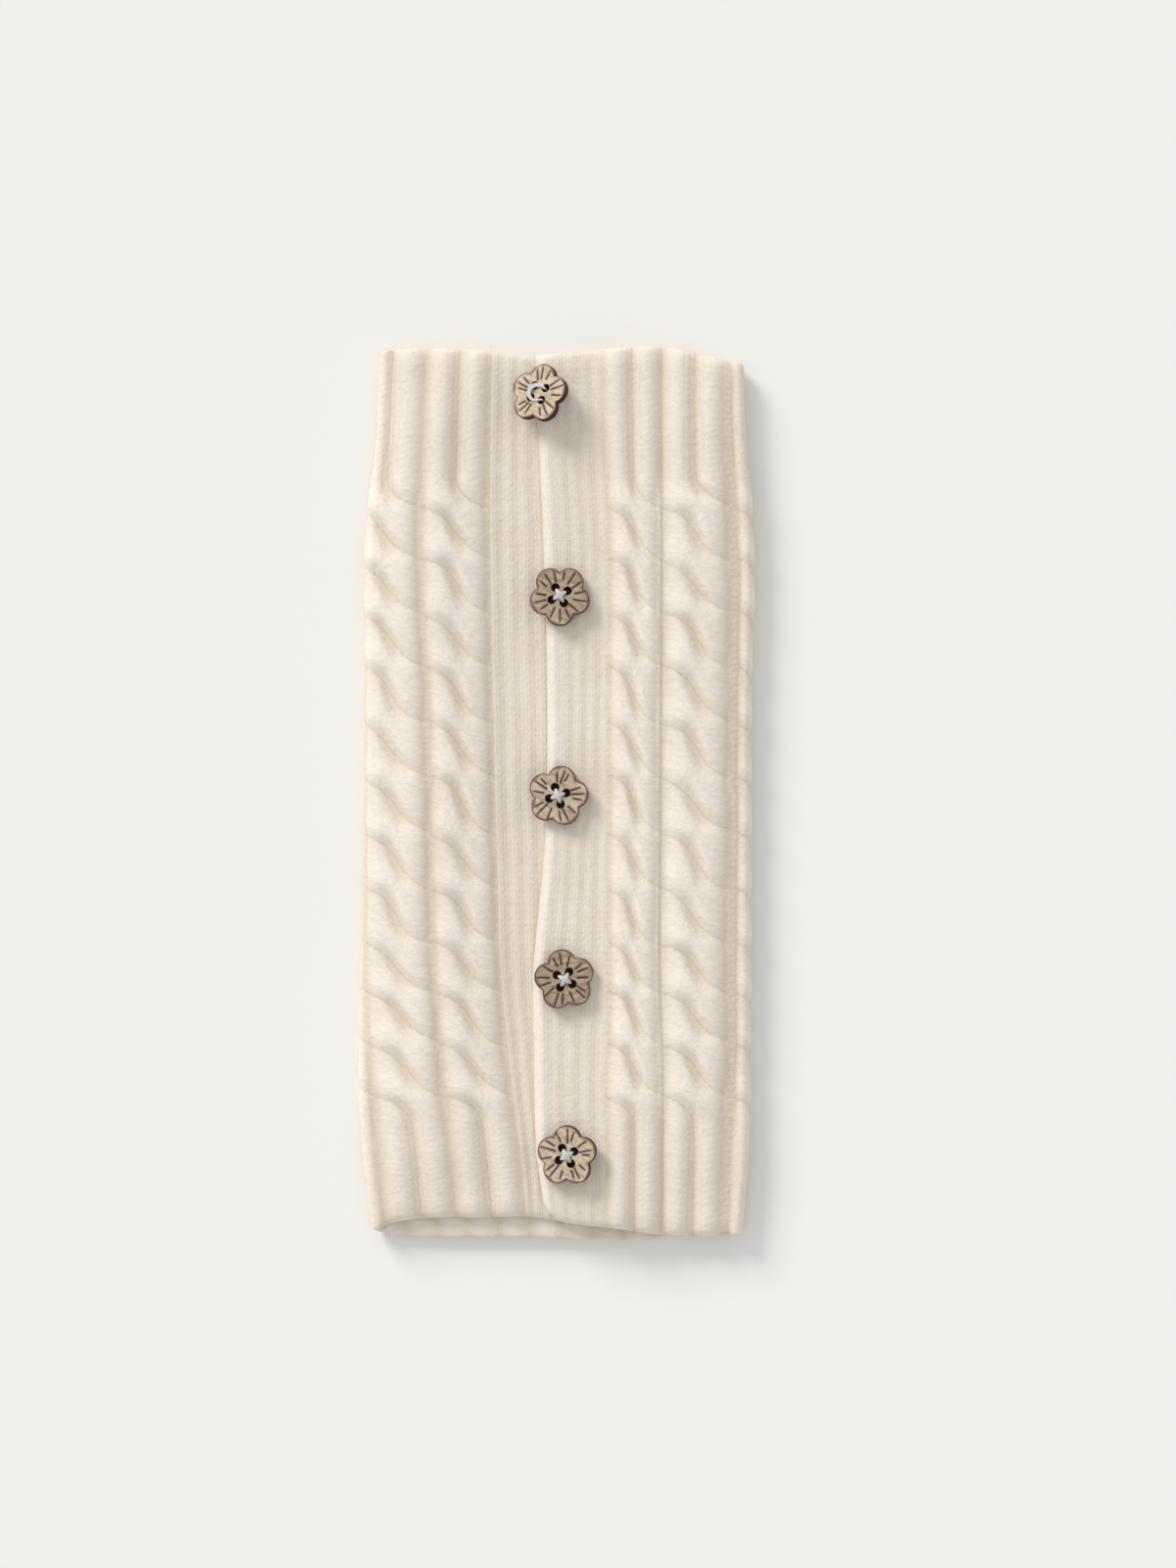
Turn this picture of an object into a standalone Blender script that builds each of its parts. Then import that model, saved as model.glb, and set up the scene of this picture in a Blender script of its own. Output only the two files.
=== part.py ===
"""A buttoned cable-knit leg warmer, laid flat on a table.

One knitted panel runs from the under band, round the left fold, across the back, round the right
fold and up to the button band, which laps over the under band. Five flower buttons are sewn
through the button band. X runs across the garment, Y along it and Z up from the table.

The shape functions work in millimetres and the objects are made in metres.
"""

import math

import bmesh
import bpy
import numpy as np
from mathutils import Matrix, Vector

MM = 0.001

# Knitted wall
WALL = 2.2  # purl ground
BACK = 4.4  # back layer with its cables pressed flat on the table
HALF_GAP = 0.4  # half the space between the front and the back
HEM_HALF_GAP = 0.3  # the same at the two open ends, which lie almost shut
GAP_REACH = 30.0  # how far in from a hem the space narrows
SEAM_GAP = 0.3

# Length of the garment
HEM = 150.0  # nominal distance from the middle to each hem
NOSE = 3.6  # depth of the rounded bind-off edge

# Heights at which a crease crosses its cable's middle, from the top down.
CROSSING_ROWS = np.array(
    (106.7, 88.7, 70.7, 52.3, 34.0, 15.3, -4.0, -22.7, -41.7, -59.0, -76.3, -93.5, -111.3)
)
CABLE_TOP = float(CROSSING_ROWS[0])
CABLE_END = float(CROSSING_ROWS[-1])
CROSSINGS = len(CROSSING_ROWS) - 1
CROSSING = (CABLE_TOP - CABLE_END) / CROSSINGS

# Cables: two strands that run straight as two ribs in the cuffs
PITCH = 22.0  # from one cable to the next
CABLE_REACH = 10.5  # from a cable's middle to the foot of its side
CABLE_HEIGHT = 3.4  # crest above the ground
GROOVE_HEIGHT = 1.0  # groove beside a cable above the ground
SLANT = 0.4  # share of a crease's slope that is the same all along it
STEEP = 4.2  # half the width of the middle part, where a crease is steep
CREASE = 0.12  # depth at the cable's sides, as a share of its height
CREASE_WIDTH = 1.8
PIT = 0.8  # depth in its middle
PIT_WIDTH = 2.5
PIT_REACH = 4.8
OVERLAP = 0.07  # how much higher a lobe is beside its lower crease, most so at its left
DOME = 0.4  # how much lower a cable is at its sides
SCALLOP = 0.5  # how far its sides draw in at a crease
SCALLOP_REACH = 2.4
SIDE_POWER = 6  # a higher power makes a cable's sides steeper
CUFF_HEIGHT = 2.5  # ribs of the cuffs
CABLE_EASE = 13.0  # the ribs start to twist over this length
EASE_START = 5.0  # from this far beyond the first and the last crossing
LEFT_WIDTH = 24.5  # the cable that lies along the left fold
PURL_STRIP = 2.6  # plain strip that shows beside the right fold
PRESSED = 0.75  # share of a fold's half turn in which its cables come to lie pressed flat

# Bands of fine rib along the opening
UNDER_WALL = 2.4
OVER_WALL = 2.6
RIB = 0.3
RIB_PITCH = 4.8
UNDER_SHORT = 4.0  # the under band ends this far inside the button band's seam
OVER_LIFT = UNDER_WALL + RIB + SEAM_GAP
LIFT_REACH = 26.0  # the panel comes down beside the button band over this width
EDGE_ROUND = 3.0
EDGE_SHARE = 0.45  # share of a wall's thickness that is left at its rounded edge
CORNER = 9.0  # rounded lower corner of the button band

# Buttons
PETALS = 5
PETAL_OUT = 5.5  # petal circle's centre from the button's
PETAL_RADIUS = 4.8
PETAL_POINTS = 8
BUTTON_THICK = 2.6
BUTTON_BEVEL = 0.3
HOLE_OUT = 3.05
HOLE_RADIUS = 1.2
HOLE_POINTS = 8
THREAD_IN = 0.3  # a thread stands this far in from its hole's middle

# Sewing thread
THREAD_RADIUS = 0.5
THREAD_RISE = 1.0  # stitch's centre above the button's face
SHANK_RADIUS = 3.6  # the wraps of thread under a button
SHANK_LEAST = 0.7
SHANK_TAPER = 0.8
LOOP = (  # way of the top button's slack stitch over its face
    (1.5, 2.2),
    (-0.2, 2.5),
    (-1.7, 2.1),
    (-2.7, 1.0),
    (-2.9, -0.5),
    (-2.4, -1.8),
    (-1.2, -2.7),
    (0.1, -3.0),
)

# Lines that run down the garment, as their distance from its middle at each height.
LINES = np.array(
    [
        (-150.7, -61.7, -33.7, -10.3, -5.0, 16.7, 35.7, 56.3, 63.7),
        (-123.3, -66.3, -35.7, -12.3, -7.0, 17.0, 36.0, 57.0, 66.0),
        (-90.0, -67.2, -39.3, -16.3, -7.7, 17.3, 36.0, 58.7, 65.7),
        (-63.3, -67.0, -41.3, -19.0, -8.0, 17.7, 35.0, 58.8, 66.0),
        (-16.7, -66.2, -42.7, -20.5, -4.0, 17.7, 35.2, 59.2, 66.0),
        (36.7, -65.8, -44.0, -22.0, -3.3, 17.7, 35.5, 59.7, 66.3),
        (90.0, -65.0, -46.3, -22.7, -4.7, 17.7, 35.7, 59.3, 67.0),
        (123.3, -61.3, -44.7, -22.7, -6.3, 15.7, 35.8, 58.0, 64.7),
        (151.0, -60.0, -43.7, -22.0, -7.3, 15.0, 36.0, 58.0, 63.7),
    ],
    dtype=[
        (name, float)
        for name in (
            "y", "left", "groove_ab", "under_seam", "band_edge", "over_seam",
            "groove_cd", "groove_de", "right",
        )
    ],
)
LINE_ROWS = np.linspace(-HEM, HEM, 25)

# How far each hem lies along the garment, across it.
HEMS = np.array(
    [
        (-64.0, 148.9, -147.9, -148.2),
        (-56.0, 151.0, -146.2, -150.2),
        (-42.0, 151.7, -144.4, -150.9),
        (-25.0, 151.0, -144.4, -150.9),
        (-9.0, 149.3, -144.2, -151.0),
        (6.0, 150.2, -146.4, -151.6),
        (20.0, 151.5, -147.9, -152.2),
        (34.0, 152.3, -150.0, -151.4),
        (47.0, 150.3, -150.7, -150.7),
        (57.0, 147.5, -150.3, -150.3),
        (66.0, 144.4, -148.3, -148.3),
    ],
    dtype=[(name, float) for name in ("x", "top", "front_bottom", "back_bottom")],
)
BACK_TOP_SHORT = 1.2  # the back's top hem lies this far below the front's

# Each button: its place, the turn of its petals and holes, and its lean with the side that it lifts.
BUTTONS = np.array(
    [
        (-5.7, 135.5, 7.0, 27.0, 29.0, -30.0, True),
        (1.1, 67.2, 54.0, 29.0, 4.0, -60.0, False),
        (0.5, -0.7, 6.0, 18.0, 3.0, -30.0, False),
        (2.7, -63.0, 27.0, 60.0, 4.0, 215.0, False),
        (3.6, -122.7, 18.0, 30.0, 9.0, -10.0, False),
    ],
    dtype=[(name, float) for name in ("x", "y", "petal_turn", "hole_turn", "lean", "lifted_side")]
    + [("loop_stitch", bool)],
)

# Colours: linear RGB, roughness
WOOL = (0.76, 0.66, 0.54), 0.95
WOOD = (0.42, 0.29, 0.20), 0.6
THREAD = (0.74, 0.74, 0.76), 0.45


def clear_scene():
    """Removes every object that the file opened with."""
    for obj in list(bpy.data.objects):
        bpy.data.objects.remove(obj)


def smooth(share):
    """Eases a share from 0 to 1 with no kink at either end."""
    share = np.clip(share, 0.0, 1.0)
    return share * share * (3.0 - 2.0 * share)


def curve_through(rows, values, at):
    """A smooth curve through a table's values, read at the given places."""
    slopes = np.gradient(values, rows)
    i = np.clip(np.searchsorted(rows, at) - 1, 0, len(rows) - 2)
    step = rows[i + 1] - rows[i]
    t = np.clip((at - rows[i]) / step, 0.0, 1.0)
    start = (1 + 2 * t) * (1 - t) ** 2 * values[i] + t * (1 - t) ** 2 * step * slopes[i]
    end = t * t * (3 - 2 * t) * values[i + 1] + t * t * (t - 1) * step * slopes[i + 1]
    return start + end


def line(name, y):
    """Distance from the middle of one of the long lines, straight between the shared rows."""
    return np.interp(y, LINE_ROWS, curve_through(LINES["y"], LINES[name], LINE_ROWS))


def hem(name, x):
    """Where a hem lies along the garment, at a distance x from the middle."""
    return curve_through(HEMS["x"], HEMS[name], np.clip(x, HEMS["x"][0], HEMS["x"][-1]))


def half_gap(y):
    """Half the space between the layers, which widens towards both mouths."""
    near_hem = smooth((np.abs(y) - HEM + GAP_REACH) / GAP_REACH)
    return HALF_GAP + (HEM_HALF_GAP - HALF_GAP) * near_hem


def front_floor(y):
    """Height of the front layer's inner face."""
    return BACK + 2 * half_gap(y)


def to_hems(y, bottom, top):
    """Moves the cuffs' rows so that the first and last lie on the bottom and top hems."""
    down = smooth((CABLE_END - y) / (HEM + CABLE_END))
    up = smooth((y - CABLE_TOP) / (HEM - CABLE_TOP))
    return y + down * (bottom + HEM) + up * (top - HEM)


def nose(y):
    """Share of the wall's thickness near a hem, where the bind-off edge rounds over."""
    inward = np.clip((HEM - np.abs(y)) / NOSE, 0.0, 1.0)
    return EDGE_SHARE + (1 - EDGE_SHARE) * np.sqrt(1 - (1 - inward) ** 2)


def crossings(y):
    """How many creases have crossed a cable's middle above a height."""
    return np.interp(y, CROSSING_ROWS[::-1], np.arange(CROSSINGS + 1)[::-1])


def rope(u, y):
    """Height of a two-strand cable above the ground, u from its middle and y along it.

    Each strand that shows is a lobe between two creases. A crease starts at the cable's left, runs
    down steeply through its middle, where it widens to a pit, and ends at its right, one crossing
    lower. In the cuffs the strands run straight, as two ribs.
    """
    from_top = smooth((CABLE_TOP + EASE_START - y) / CABLE_EASE)
    twisted = from_top * smooth((y - CABLE_END + EASE_START) / CABLE_EASE)
    across = 2 * u / PITCH
    bent = np.tanh(u / STEEP)
    slant = SLANT * twisted
    share = crossings(y) - 0.5 * (bent + (across - bent) * slant)
    part = share - np.floor(share)
    slope = 0.5 * CROSSING * ((1 - slant) * (1 - bent**2) / STEEP + slant * 2 / PITCH)
    near = np.minimum(part, 1 - part) * CROSSING / np.sqrt(1 + slope**2)
    middle = math.exp(-((u / PIT_REACH) ** 2))
    depth = CREASE + (PIT - CREASE) * middle
    width = CREASE_WIDTH + (PIT_WIDTH - CREASE_WIDTH) * middle
    lobe = 1 - depth * np.exp(-((near / width) ** 2)) - DOME * across**2
    lobe = lobe + OVERLAP * (across - 1) * np.sin(2 * math.pi * part)
    reach = CABLE_REACH - SCALLOP * np.exp(-((near / SCALLOP_REACH) ** 2))
    side = np.clip(1 - np.abs(u / reach) ** SIDE_POWER, 0.0, 1.0) ** 0.8
    twist = CABLE_HEIGHT * side * lobe
    rib = CUFF_HEIGHT * abs(math.sin(math.pi * across)) ** 0.8
    high = rib + (twist - rib) * twisted
    return (np.maximum(high, 0) ** 3 + GROOVE_HEIGHT**3) ** (1 / 3)  # a soft foot in the groove


def band_rib(across, width):
    """Height of the bands' fine rib, with whole ribs across the band's width."""
    ribs = max(1, round(float(np.mean(width)) / RIB_PITCH))
    return RIB * 0.5 * (1 - np.cos(2 * math.pi * ribs * across / width))


def panel_rows():
    """Heights of the panel's rows: few in the plain cuffs, many over the cables."""
    per_crossing = 6
    places = np.linspace(CROSSINGS, 0, CROSSINGS * per_crossing + 1)
    cables = np.interp(places, np.arange(CROSSINGS + 1), CROSSING_ROWS)
    edge = np.array([HEM, HEM - 0.15 * NOSE, HEM - 0.5 * NOSE, HEM - NOSE])
    upper = np.array([HEM - 0.35 * (HEM - CABLE_TOP), HEM - 0.7 * (HEM - CABLE_TOP)])
    lower = np.array([-HEM + 0.35 * (HEM + CABLE_END), -HEM + 0.7 * (HEM + CABLE_END)])
    return np.concatenate([-edge, lower, cables, upper[::-1], edge[::-1]])


def fold_side(y, distance, side):
    """Points and outward directions along one fold, by the distance from the last groove.

    side is -1 for the left fold and 1 for the right one. The path runs flat to the fold, and then
    round it to the back. Returns the inner points' x and z, the direction's x and z, and the turn.
    """
    groove = line("groove_ab" if side < 0 else "groove_de", y)
    outline = line("left" if side < 0 else "right", y)
    gap = half_gap(y)
    centre = outline - side * (gap + BACK)
    flat = np.abs(centre - groove)
    turn = np.clip((distance - flat) / (gap + BACK), 0.0, math.pi)
    x = np.where(distance < flat, groove + side * distance, centre + side * gap * np.sin(turn))
    z = BACK + gap + gap * np.cos(turn)
    return x, z, side * np.sin(turn), np.cos(turn), turn


def fold_reach(y, side):
    """Distance from the last groove to the end of the fold, where the back begins."""
    groove = line("groove_ab" if side < 0 else "groove_de", y)
    outline = line("left" if side < 0 else "right", y)
    radius = half_gap(y) + BACK
    return np.abs(outline - side * radius - groove) + math.pi * radius


def over_lift(x, y):
    """How far the panel rises where it meets the button band."""
    return OVER_LIFT * (1 - smooth((x - line("over_seam", y)) / LIFT_REACH))


def on_front(x, y, wall, lift):
    """Points of the front layer: a height of wall and lift above the layer's inner face."""
    bottom, top = hem("front_bottom", x), hem("top", x)
    return np.stack([x, to_hems(y, bottom, top), front_floor(y) + lift + wall], axis=-1)


def on_fold(y, distance, side, thick):
    """Points of a fold or of the flat stretch before it, at a thickness above the inner face."""
    x, z, out_x, out_z, turn = fold_side(y, distance, side)
    thick = thick(turn) if callable(thick) else thick
    shade = turn / math.pi
    bottom = hem("front_bottom", x) * (1 - shade) + hem("back_bottom", x) * shade
    top = hem("top", x) - BACK_TOP_SHORT * shade
    place = to_hems(y, bottom, top)
    return np.stack([x + out_x * thick, place, z + out_z * thick], axis=-1)


def on_back(x, y, z):
    """Points of the back layer."""
    bottom, top = hem("back_bottom", x), hem("top", x) - BACK_TOP_SHORT
    return np.stack([x, to_hems(y, bottom, top), z + 0 * x], axis=-1)


def raised(y, relief):
    """Thickness of the front's wall with its relief, rounded over at the hems."""
    return nose(y) * (WALL + relief)


def panel_columns(y, raise_wall, steps, fold_steps, back_steps):
    """The panel's points, column by column, from the under band's seam round to the button band's."""
    columns = []

    def thickness(relief):
        """Wall on a fold: with relief on the front, pressed to the back's thickness below."""

        def at(turn):
            pressed = smooth(turn / (PRESSED * math.pi))
            return raised(y, relief) * (1 - pressed) + BACK * pressed

        return at if raise_wall else 0 * y

    def cable(share, start, end):
        """A column of a cable that lies on the flat, between two long lines."""
        x = start + (end - start) * share
        relief = rope((share - 0.5) * PITCH, y)
        return x, (raised(y, relief) if raise_wall else 0 * y)

    under, groove = line("under_seam", y) - 0.5 * SEAM_GAP, line("groove_ab", y)
    for share in np.linspace(1, 0, steps + 1)[:-1]:
        x, wall = cable(share, groove, under)
        columns.append(on_front(x, y, wall, 0 * y))
    for distance, relief in fold_columns(y, -1, steps, fold_steps):
        columns.append(on_fold(y, distance, -1, thickness(relief)))
    first, last = fold_end(y, -1), fold_end(y, 1)
    for share in np.linspace(0, 1, back_steps + 1)[1:-1]:
        columns.append(on_back(first + (last - first) * share, y, 0.0 if raise_wall else BACK))
    for distance, relief in reversed(fold_columns(y, 1, steps, fold_steps)):
        columns.append(on_fold(y, distance, 1, thickness(relief)))
    over, middle = line("over_seam", y) + 0.5 * SEAM_GAP, line("groove_cd", y)
    for start, end in ((middle, line("groove_de", y)), (over, middle)):
        for share in np.linspace(1, 0, steps + 1)[1:]:
            x, wall = cable(share, start, end)
            columns.append(on_front(x, y, wall, over_lift(x, y)))
    return np.stack(columns, axis=1)


def outer_cable(at, side):
    """Distance from the middle of a cable round a fold, at a distance from the last groove.

    The first cable at the left fold is wider, and the one at the right fold stands off the groove
    by a plain strip.
    """
    if side < 0:
        return 0.5 * PITCH - (at / LEFT_WIDTH * PITCH if at < LEFT_WIDTH else at - LEFT_WIDTH)
    u = at % PITCH - 0.5 * PITCH
    return u - (PURL_STRIP * (0.5 - u / PITCH) if at < PITCH else 0.0)


def fold_columns(y, side, steps, fold_steps):
    """(distance, relief) of each column of the outer cable and of the fold that goes on from it."""
    reach = fold_reach(y, side)
    width = LEFT_WIDTH if side < 0 else PITCH
    columns = [(0 * y + width * share, width * share) for share in np.linspace(0, 1, steps + 1)]
    mean_reach = float(np.mean(reach))
    for share in np.linspace(0, 1, fold_steps + 1)[1:]:
        columns.append((width + (reach - width) * share, width + (mean_reach - width) * share))
    return [(distance, rope(outer_cable(at, side), y)) for distance, at in columns]


def fold_end(y, side):
    """Where a fold ends and the flat back begins."""
    return line("left" if side < 0 else "right", y) - side * (half_gap(y) + BACK)


def grid_faces(rows, columns, start, flip):
    """Corner numbers of a grid's four-sided faces."""
    faces = []
    for i in range(rows - 1):
        for j in range(columns - 1):
            a = start + i * columns + j
            corners = (a, a + 1, a + 1 + columns, a + columns)
            faces.append(corners[::-1] if flip else corners)
    return faces


def border(rows, columns, start):
    """The four sides of a grid's edge, as lists of corner numbers that run round it."""
    grid = np.arange(rows * columns).reshape(rows, columns) + start
    return grid[0], grid[:, -1], grid[-1, ::-1], grid[::-1, 0]


def zip_faces(first, second):
    """Triangles between two rows of corners with different counts."""
    faces, i, j = [], 0, 0
    while i < len(first) - 1 or j < len(second) - 1:
        if (i + 1) * (len(second) - 1) <= (j + 1) * (len(first) - 1) and i < len(first) - 1:
            faces.append((first[i], second[j], first[i + 1]))
            i += 1
        else:
            faces.append((first[i], second[j], second[j + 1]))
            j += 1
    return faces


def material(name, look):
    """A plain Principled material."""
    colour, roughness = look
    made = bpy.data.materials.new(name)
    made.use_nodes = True
    shader = made.node_tree.nodes["Principled BSDF"]
    shader.inputs["Base Color"].default_value = (*colour, 1)
    shader.inputs["Roughness"].default_value = roughness
    shader.inputs["Metallic"].default_value = 0.0
    return made


def link(name, data, finish):
    """Puts mesh or curve data into the scene as one named object."""
    obj = bpy.data.objects.new(name, data)
    bpy.context.scene.collection.objects.link(obj)
    data.materials.append(finish)
    return obj


def wall_object(name, outer, inner, finish):
    """A closed wall between an outer grid of points and a coarser inner one."""
    points = np.concatenate([outer.reshape(-1, 3), inner.reshape(-1, 3)]) * MM
    start = outer.shape[0] * outer.shape[1]
    faces = grid_faces(*outer.shape[:2], 0, False) + grid_faces(*inner.shape[:2], start, True)
    for first, second in zip(border(*outer.shape[:2], 0), border(*inner.shape[:2], start)):
        faces += zip_faces(first, second)
    mesh = bpy.data.meshes.new(name)
    mesh.from_pydata(points.tolist(), [], [[int(c) for c in face] for face in faces])
    shell = bmesh.new()
    shell.from_mesh(mesh)
    bmesh.ops.recalc_face_normals(shell, faces=shell.faces)
    shell.to_mesh(mesh)
    shell.free()
    mesh.shade_smooth()
    return link(name, mesh, finish)


def make_panel(finish):
    """The cable panel, with both cuffs, all round the tube."""
    outer_rows, inner_rows = panel_rows(), LINE_ROWS[::2]
    outer = panel_columns(outer_rows, True, 8, 6, 4)
    inner = panel_columns(inner_rows, False, 2, 4, 2)
    return wall_object("cable_panel", outer, inner, finish)


def band_rows():
    """Heights of a band's rows, which keep to the long lines' shared rows between the hems."""
    edge = np.array([HEM, HEM - 0.15 * NOSE, HEM - 0.5 * NOSE, HEM - NOSE])
    return np.concatenate([-edge, LINE_ROWS[1:-1], edge[::-1]])


def rounded_edge(inward):
    """Share of a band's thickness, at a distance inward from its free edge."""
    share = np.clip(inward / EDGE_ROUND, 0.0, 1.0)
    return EDGE_SHARE + (1 - EDGE_SHARE) * np.sqrt(1 - (1 - share) ** 2)


def band_object(name, start, end, wall, lift, free_edge, corner, finish):
    """A band of fine rib between two long lines, with one rounded free edge.

    free_edge is -1 where the band's left edge is free and 1 where its right edge is.
    """
    y = band_rows()
    width = end - start
    ribs = round(float(np.mean(width)) / RIB_PITCH)
    shares = np.linspace(0, 1, 2 * ribs + 1)
    near_edge = np.array([0.03, 0.09, 0.17])
    shares = np.unique(np.concatenate([shares, near_edge if free_edge < 0 else 1 - near_edge]))
    outer, inner = [], []
    for share in shares:
        x = start + width * share
        inward = width * (share if free_edge < 0 else 1 - share)
        thick = (wall + band_rib(width * share, width)) * rounded_edge(inward) * nose(y)
        outer.append(on_front(x, y, thick, lift))
    for share in np.linspace(0, 1, 4):
        inner.append(on_front(start + width * share, y, 0 * y, lift))
    outer, inner = np.stack(outer, axis=1), np.stack(inner, axis=1)
    if corner:
        for grid in (outer, inner):
            round_corner(grid, start, corner)
    return wall_object(name, outer, inner, finish)


def round_corner(grid, edge, radius):
    """Draws the lower hem up towards the free edge, so that the band's corner is round."""
    inward = np.clip(grid[..., 0] - edge[:, None], 0.0, radius)
    rise = radius - np.sqrt(radius**2 - (radius - inward) ** 2)
    low = grid[0, :, 1]
    share = np.clip(1 - (grid[..., 1] - low) / (3 * radius), 0.0, 1.0)
    grid[..., 1] += rise * share


def make_bands(finish):
    """The under band, and the button band that laps over it."""
    y = band_rows()
    start = line("under_seam", y) + 0.5 * SEAM_GAP
    end = line("over_seam", y) - UNDER_SHORT
    band_object("under_band", start, end, UNDER_WALL, 0 * y, 1, 0, finish)
    start = line("band_edge", y)
    end = line("over_seam", y) - 0.5 * SEAM_GAP
    band_object("button_band", start, end, OVER_WALL, OVER_LIFT + 0 * y, -1, CORNER, finish)


def flower_outline():
    """Points of the button's outline: five round petals that meet in notches."""
    points = []
    for k in range(PETALS * PETAL_POINTS):
        turn = 2 * math.pi * k / (PETALS * PETAL_POINTS)
        part = 2 * math.pi / PETALS
        off = (turn + part / 2) % part - part / 2
        out = PETAL_OUT * math.cos(off) + math.sqrt(PETAL_RADIUS**2 - (PETAL_OUT * math.sin(off)) ** 2)
        points.append((out * math.cos(turn), out * math.sin(turn)))
    return points


def ring(radius, count):
    """Points of a circle."""
    turns = [2 * math.pi * k / count for k in range(count)]
    return [(radius * math.cos(t), radius * math.sin(t)) for t in turns]


def hole_centres(turn):
    """The four thread holes' centres on the button's face."""
    turns = [turn + k * math.pi / 2 for k in range(4)]
    return [(HOLE_OUT * math.cos(t), HOLE_OUT * math.sin(t)) for t in turns]


def thread_places(turn):
    """Where the thread stands in each hole: a little nearer to the button's centre."""
    near = (HOLE_OUT - THREAD_IN) / HOLE_OUT
    return [(near * x, near * y) for x, y in hole_centres(turn)]


def add_spline(curve, points):
    """Adds a closed outline to a flat curve."""
    spline = curve.splines.new("POLY")
    spline.points.add(len(points) - 1)
    for point, (x, y) in zip(spline.points, points):
        point.co = (x * MM, y * MM, 0, 1)
    spline.use_cyclic_u = True


def button_curve(name, hole_turn):
    """A flower with four holes, extruded and with its edges eased."""
    curve = bpy.data.curves.new(name, "CURVE")
    curve.dimensions = "2D"
    curve.fill_mode = "BOTH"
    curve.extrude = (0.5 * BUTTON_THICK - BUTTON_BEVEL) * MM
    curve.bevel_depth = BUTTON_BEVEL * MM
    curve.bevel_resolution = 0
    curve.offset = -BUTTON_BEVEL * MM
    add_spline(curve, flower_outline())
    for x, y in hole_centres(hole_turn):
        add_spline(curve, [(x + a, y + b) for a, b in ring(HOLE_RADIUS, HOLE_POINTS)])
    return curve


def tube(points, radius):
    """A closed round tube along points, as a mesh."""
    curve = bpy.data.curves.new("stitch", "CURVE")
    curve.dimensions = "3D"
    curve.bevel_depth = radius * MM
    curve.bevel_resolution = 1
    curve.use_fill_caps = True
    spline = curve.splines.new("POLY")
    spline.points.add(len(points) - 1)
    for point, place in zip(spline.points, points):
        point.co = (*(Vector(place) * MM), 1)
    guide = bpy.data.objects.new("stitch", curve)
    mesh = bpy.data.meshes.new_from_object(guide)
    bpy.data.objects.remove(guide)
    bpy.data.curves.remove(curve)
    whole = bmesh.new()
    whole.from_mesh(mesh)
    bmesh.ops.remove_doubles(whole, verts=whole.verts, dist=0.01 * MM)
    bmesh.ops.recalc_face_normals(whole, faces=whole.faces)
    whole.to_mesh(mesh)
    whole.free()
    return mesh


def through_hole(place):
    """Points of a thread as it comes up through a hole, from the wraps to the button's face."""
    foot = -0.5 * BUTTON_THICK - SEAM_GAP - 0.5 * SHANK_LEAST
    return [(*place, foot), (*place, 0.0), (*place, 0.5 * BUTTON_THICK)]


def stitch_points(start, end):
    """A straight stitch up through one hole, over the face and down another."""
    points = through_hole(start)
    for share in (0.12, 0.3, 0.5, 0.7, 0.88):
        place = Vector(start).lerp(Vector(end), share)
        points.append((*place, 0.5 * BUTTON_THICK + THREAD_RISE * math.sin(math.pi * share) ** 0.4))
    return points + through_hole(end)[::-1]


def loop_points(start, end):
    """A slack stitch, which leaves the right hole, swings out to the left and goes down the lowest."""
    points = through_hole(start)
    for count, place in enumerate(LOOP):
        share = (count + 1) / (len(LOOP) + 1)
        points.append((*place, 0.5 * BUTTON_THICK + THREAD_RISE * math.sin(math.pi * share) ** 0.4))
    return points + through_hole(end)[::-1]


def shank_mesh(name, length):
    """The wraps of thread between a button and the band, as a short tapered post."""
    post = bmesh.new()
    centre = -0.5 * BUTTON_THICK - SEAM_GAP - 0.5 * length
    bmesh.ops.create_cone(
        post,
        cap_ends=True,
        segments=12,
        radius1=SHANK_TAPER * SHANK_RADIUS * MM,
        radius2=SHANK_RADIUS * MM,
        depth=length * MM,
        matrix=Matrix.Translation((0, 0, centre * MM)),
    )
    mesh = bpy.data.meshes.new(name)
    post.to_mesh(mesh)
    post.free()
    return mesh


def thread_object(name, row, shank, finish):
    """The sewing thread of one button: its stitches on the face and the wraps under it."""
    holes = thread_places(math.radians(row["hole_turn"]))
    if row["loop_stitch"]:
        runs = [loop_points(holes[0], holes[3])]
    else:
        runs = [stitch_points(holes[0], holes[2]), stitch_points(holes[1], holes[3])]
    obj = link(name, shank_mesh(name, shank), finish)
    for points in runs:
        helper = bpy.data.objects.new(name + "_run", tube(points, THREAD_RADIUS))
        bpy.context.scene.collection.objects.link(helper)
        helper.hide_render = True
        helper.display_type = "WIRE"
        helper.parent = obj
        union = obj.modifiers.new("Stitch", "BOOLEAN")
        union.operation = "UNION"
        union.solver = "EXACT"
        union.object = helper
    return obj


def knit_top(x, y):
    """Height of the knit under a button: the button band, or the under band beside it."""
    on_band = x > float(line("band_edge", y))
    wall = OVER_LIFT + OVER_WALL + RIB if on_band else UNDER_WALL + RIB
    return float(front_floor(np.array(y))) + wall


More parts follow.
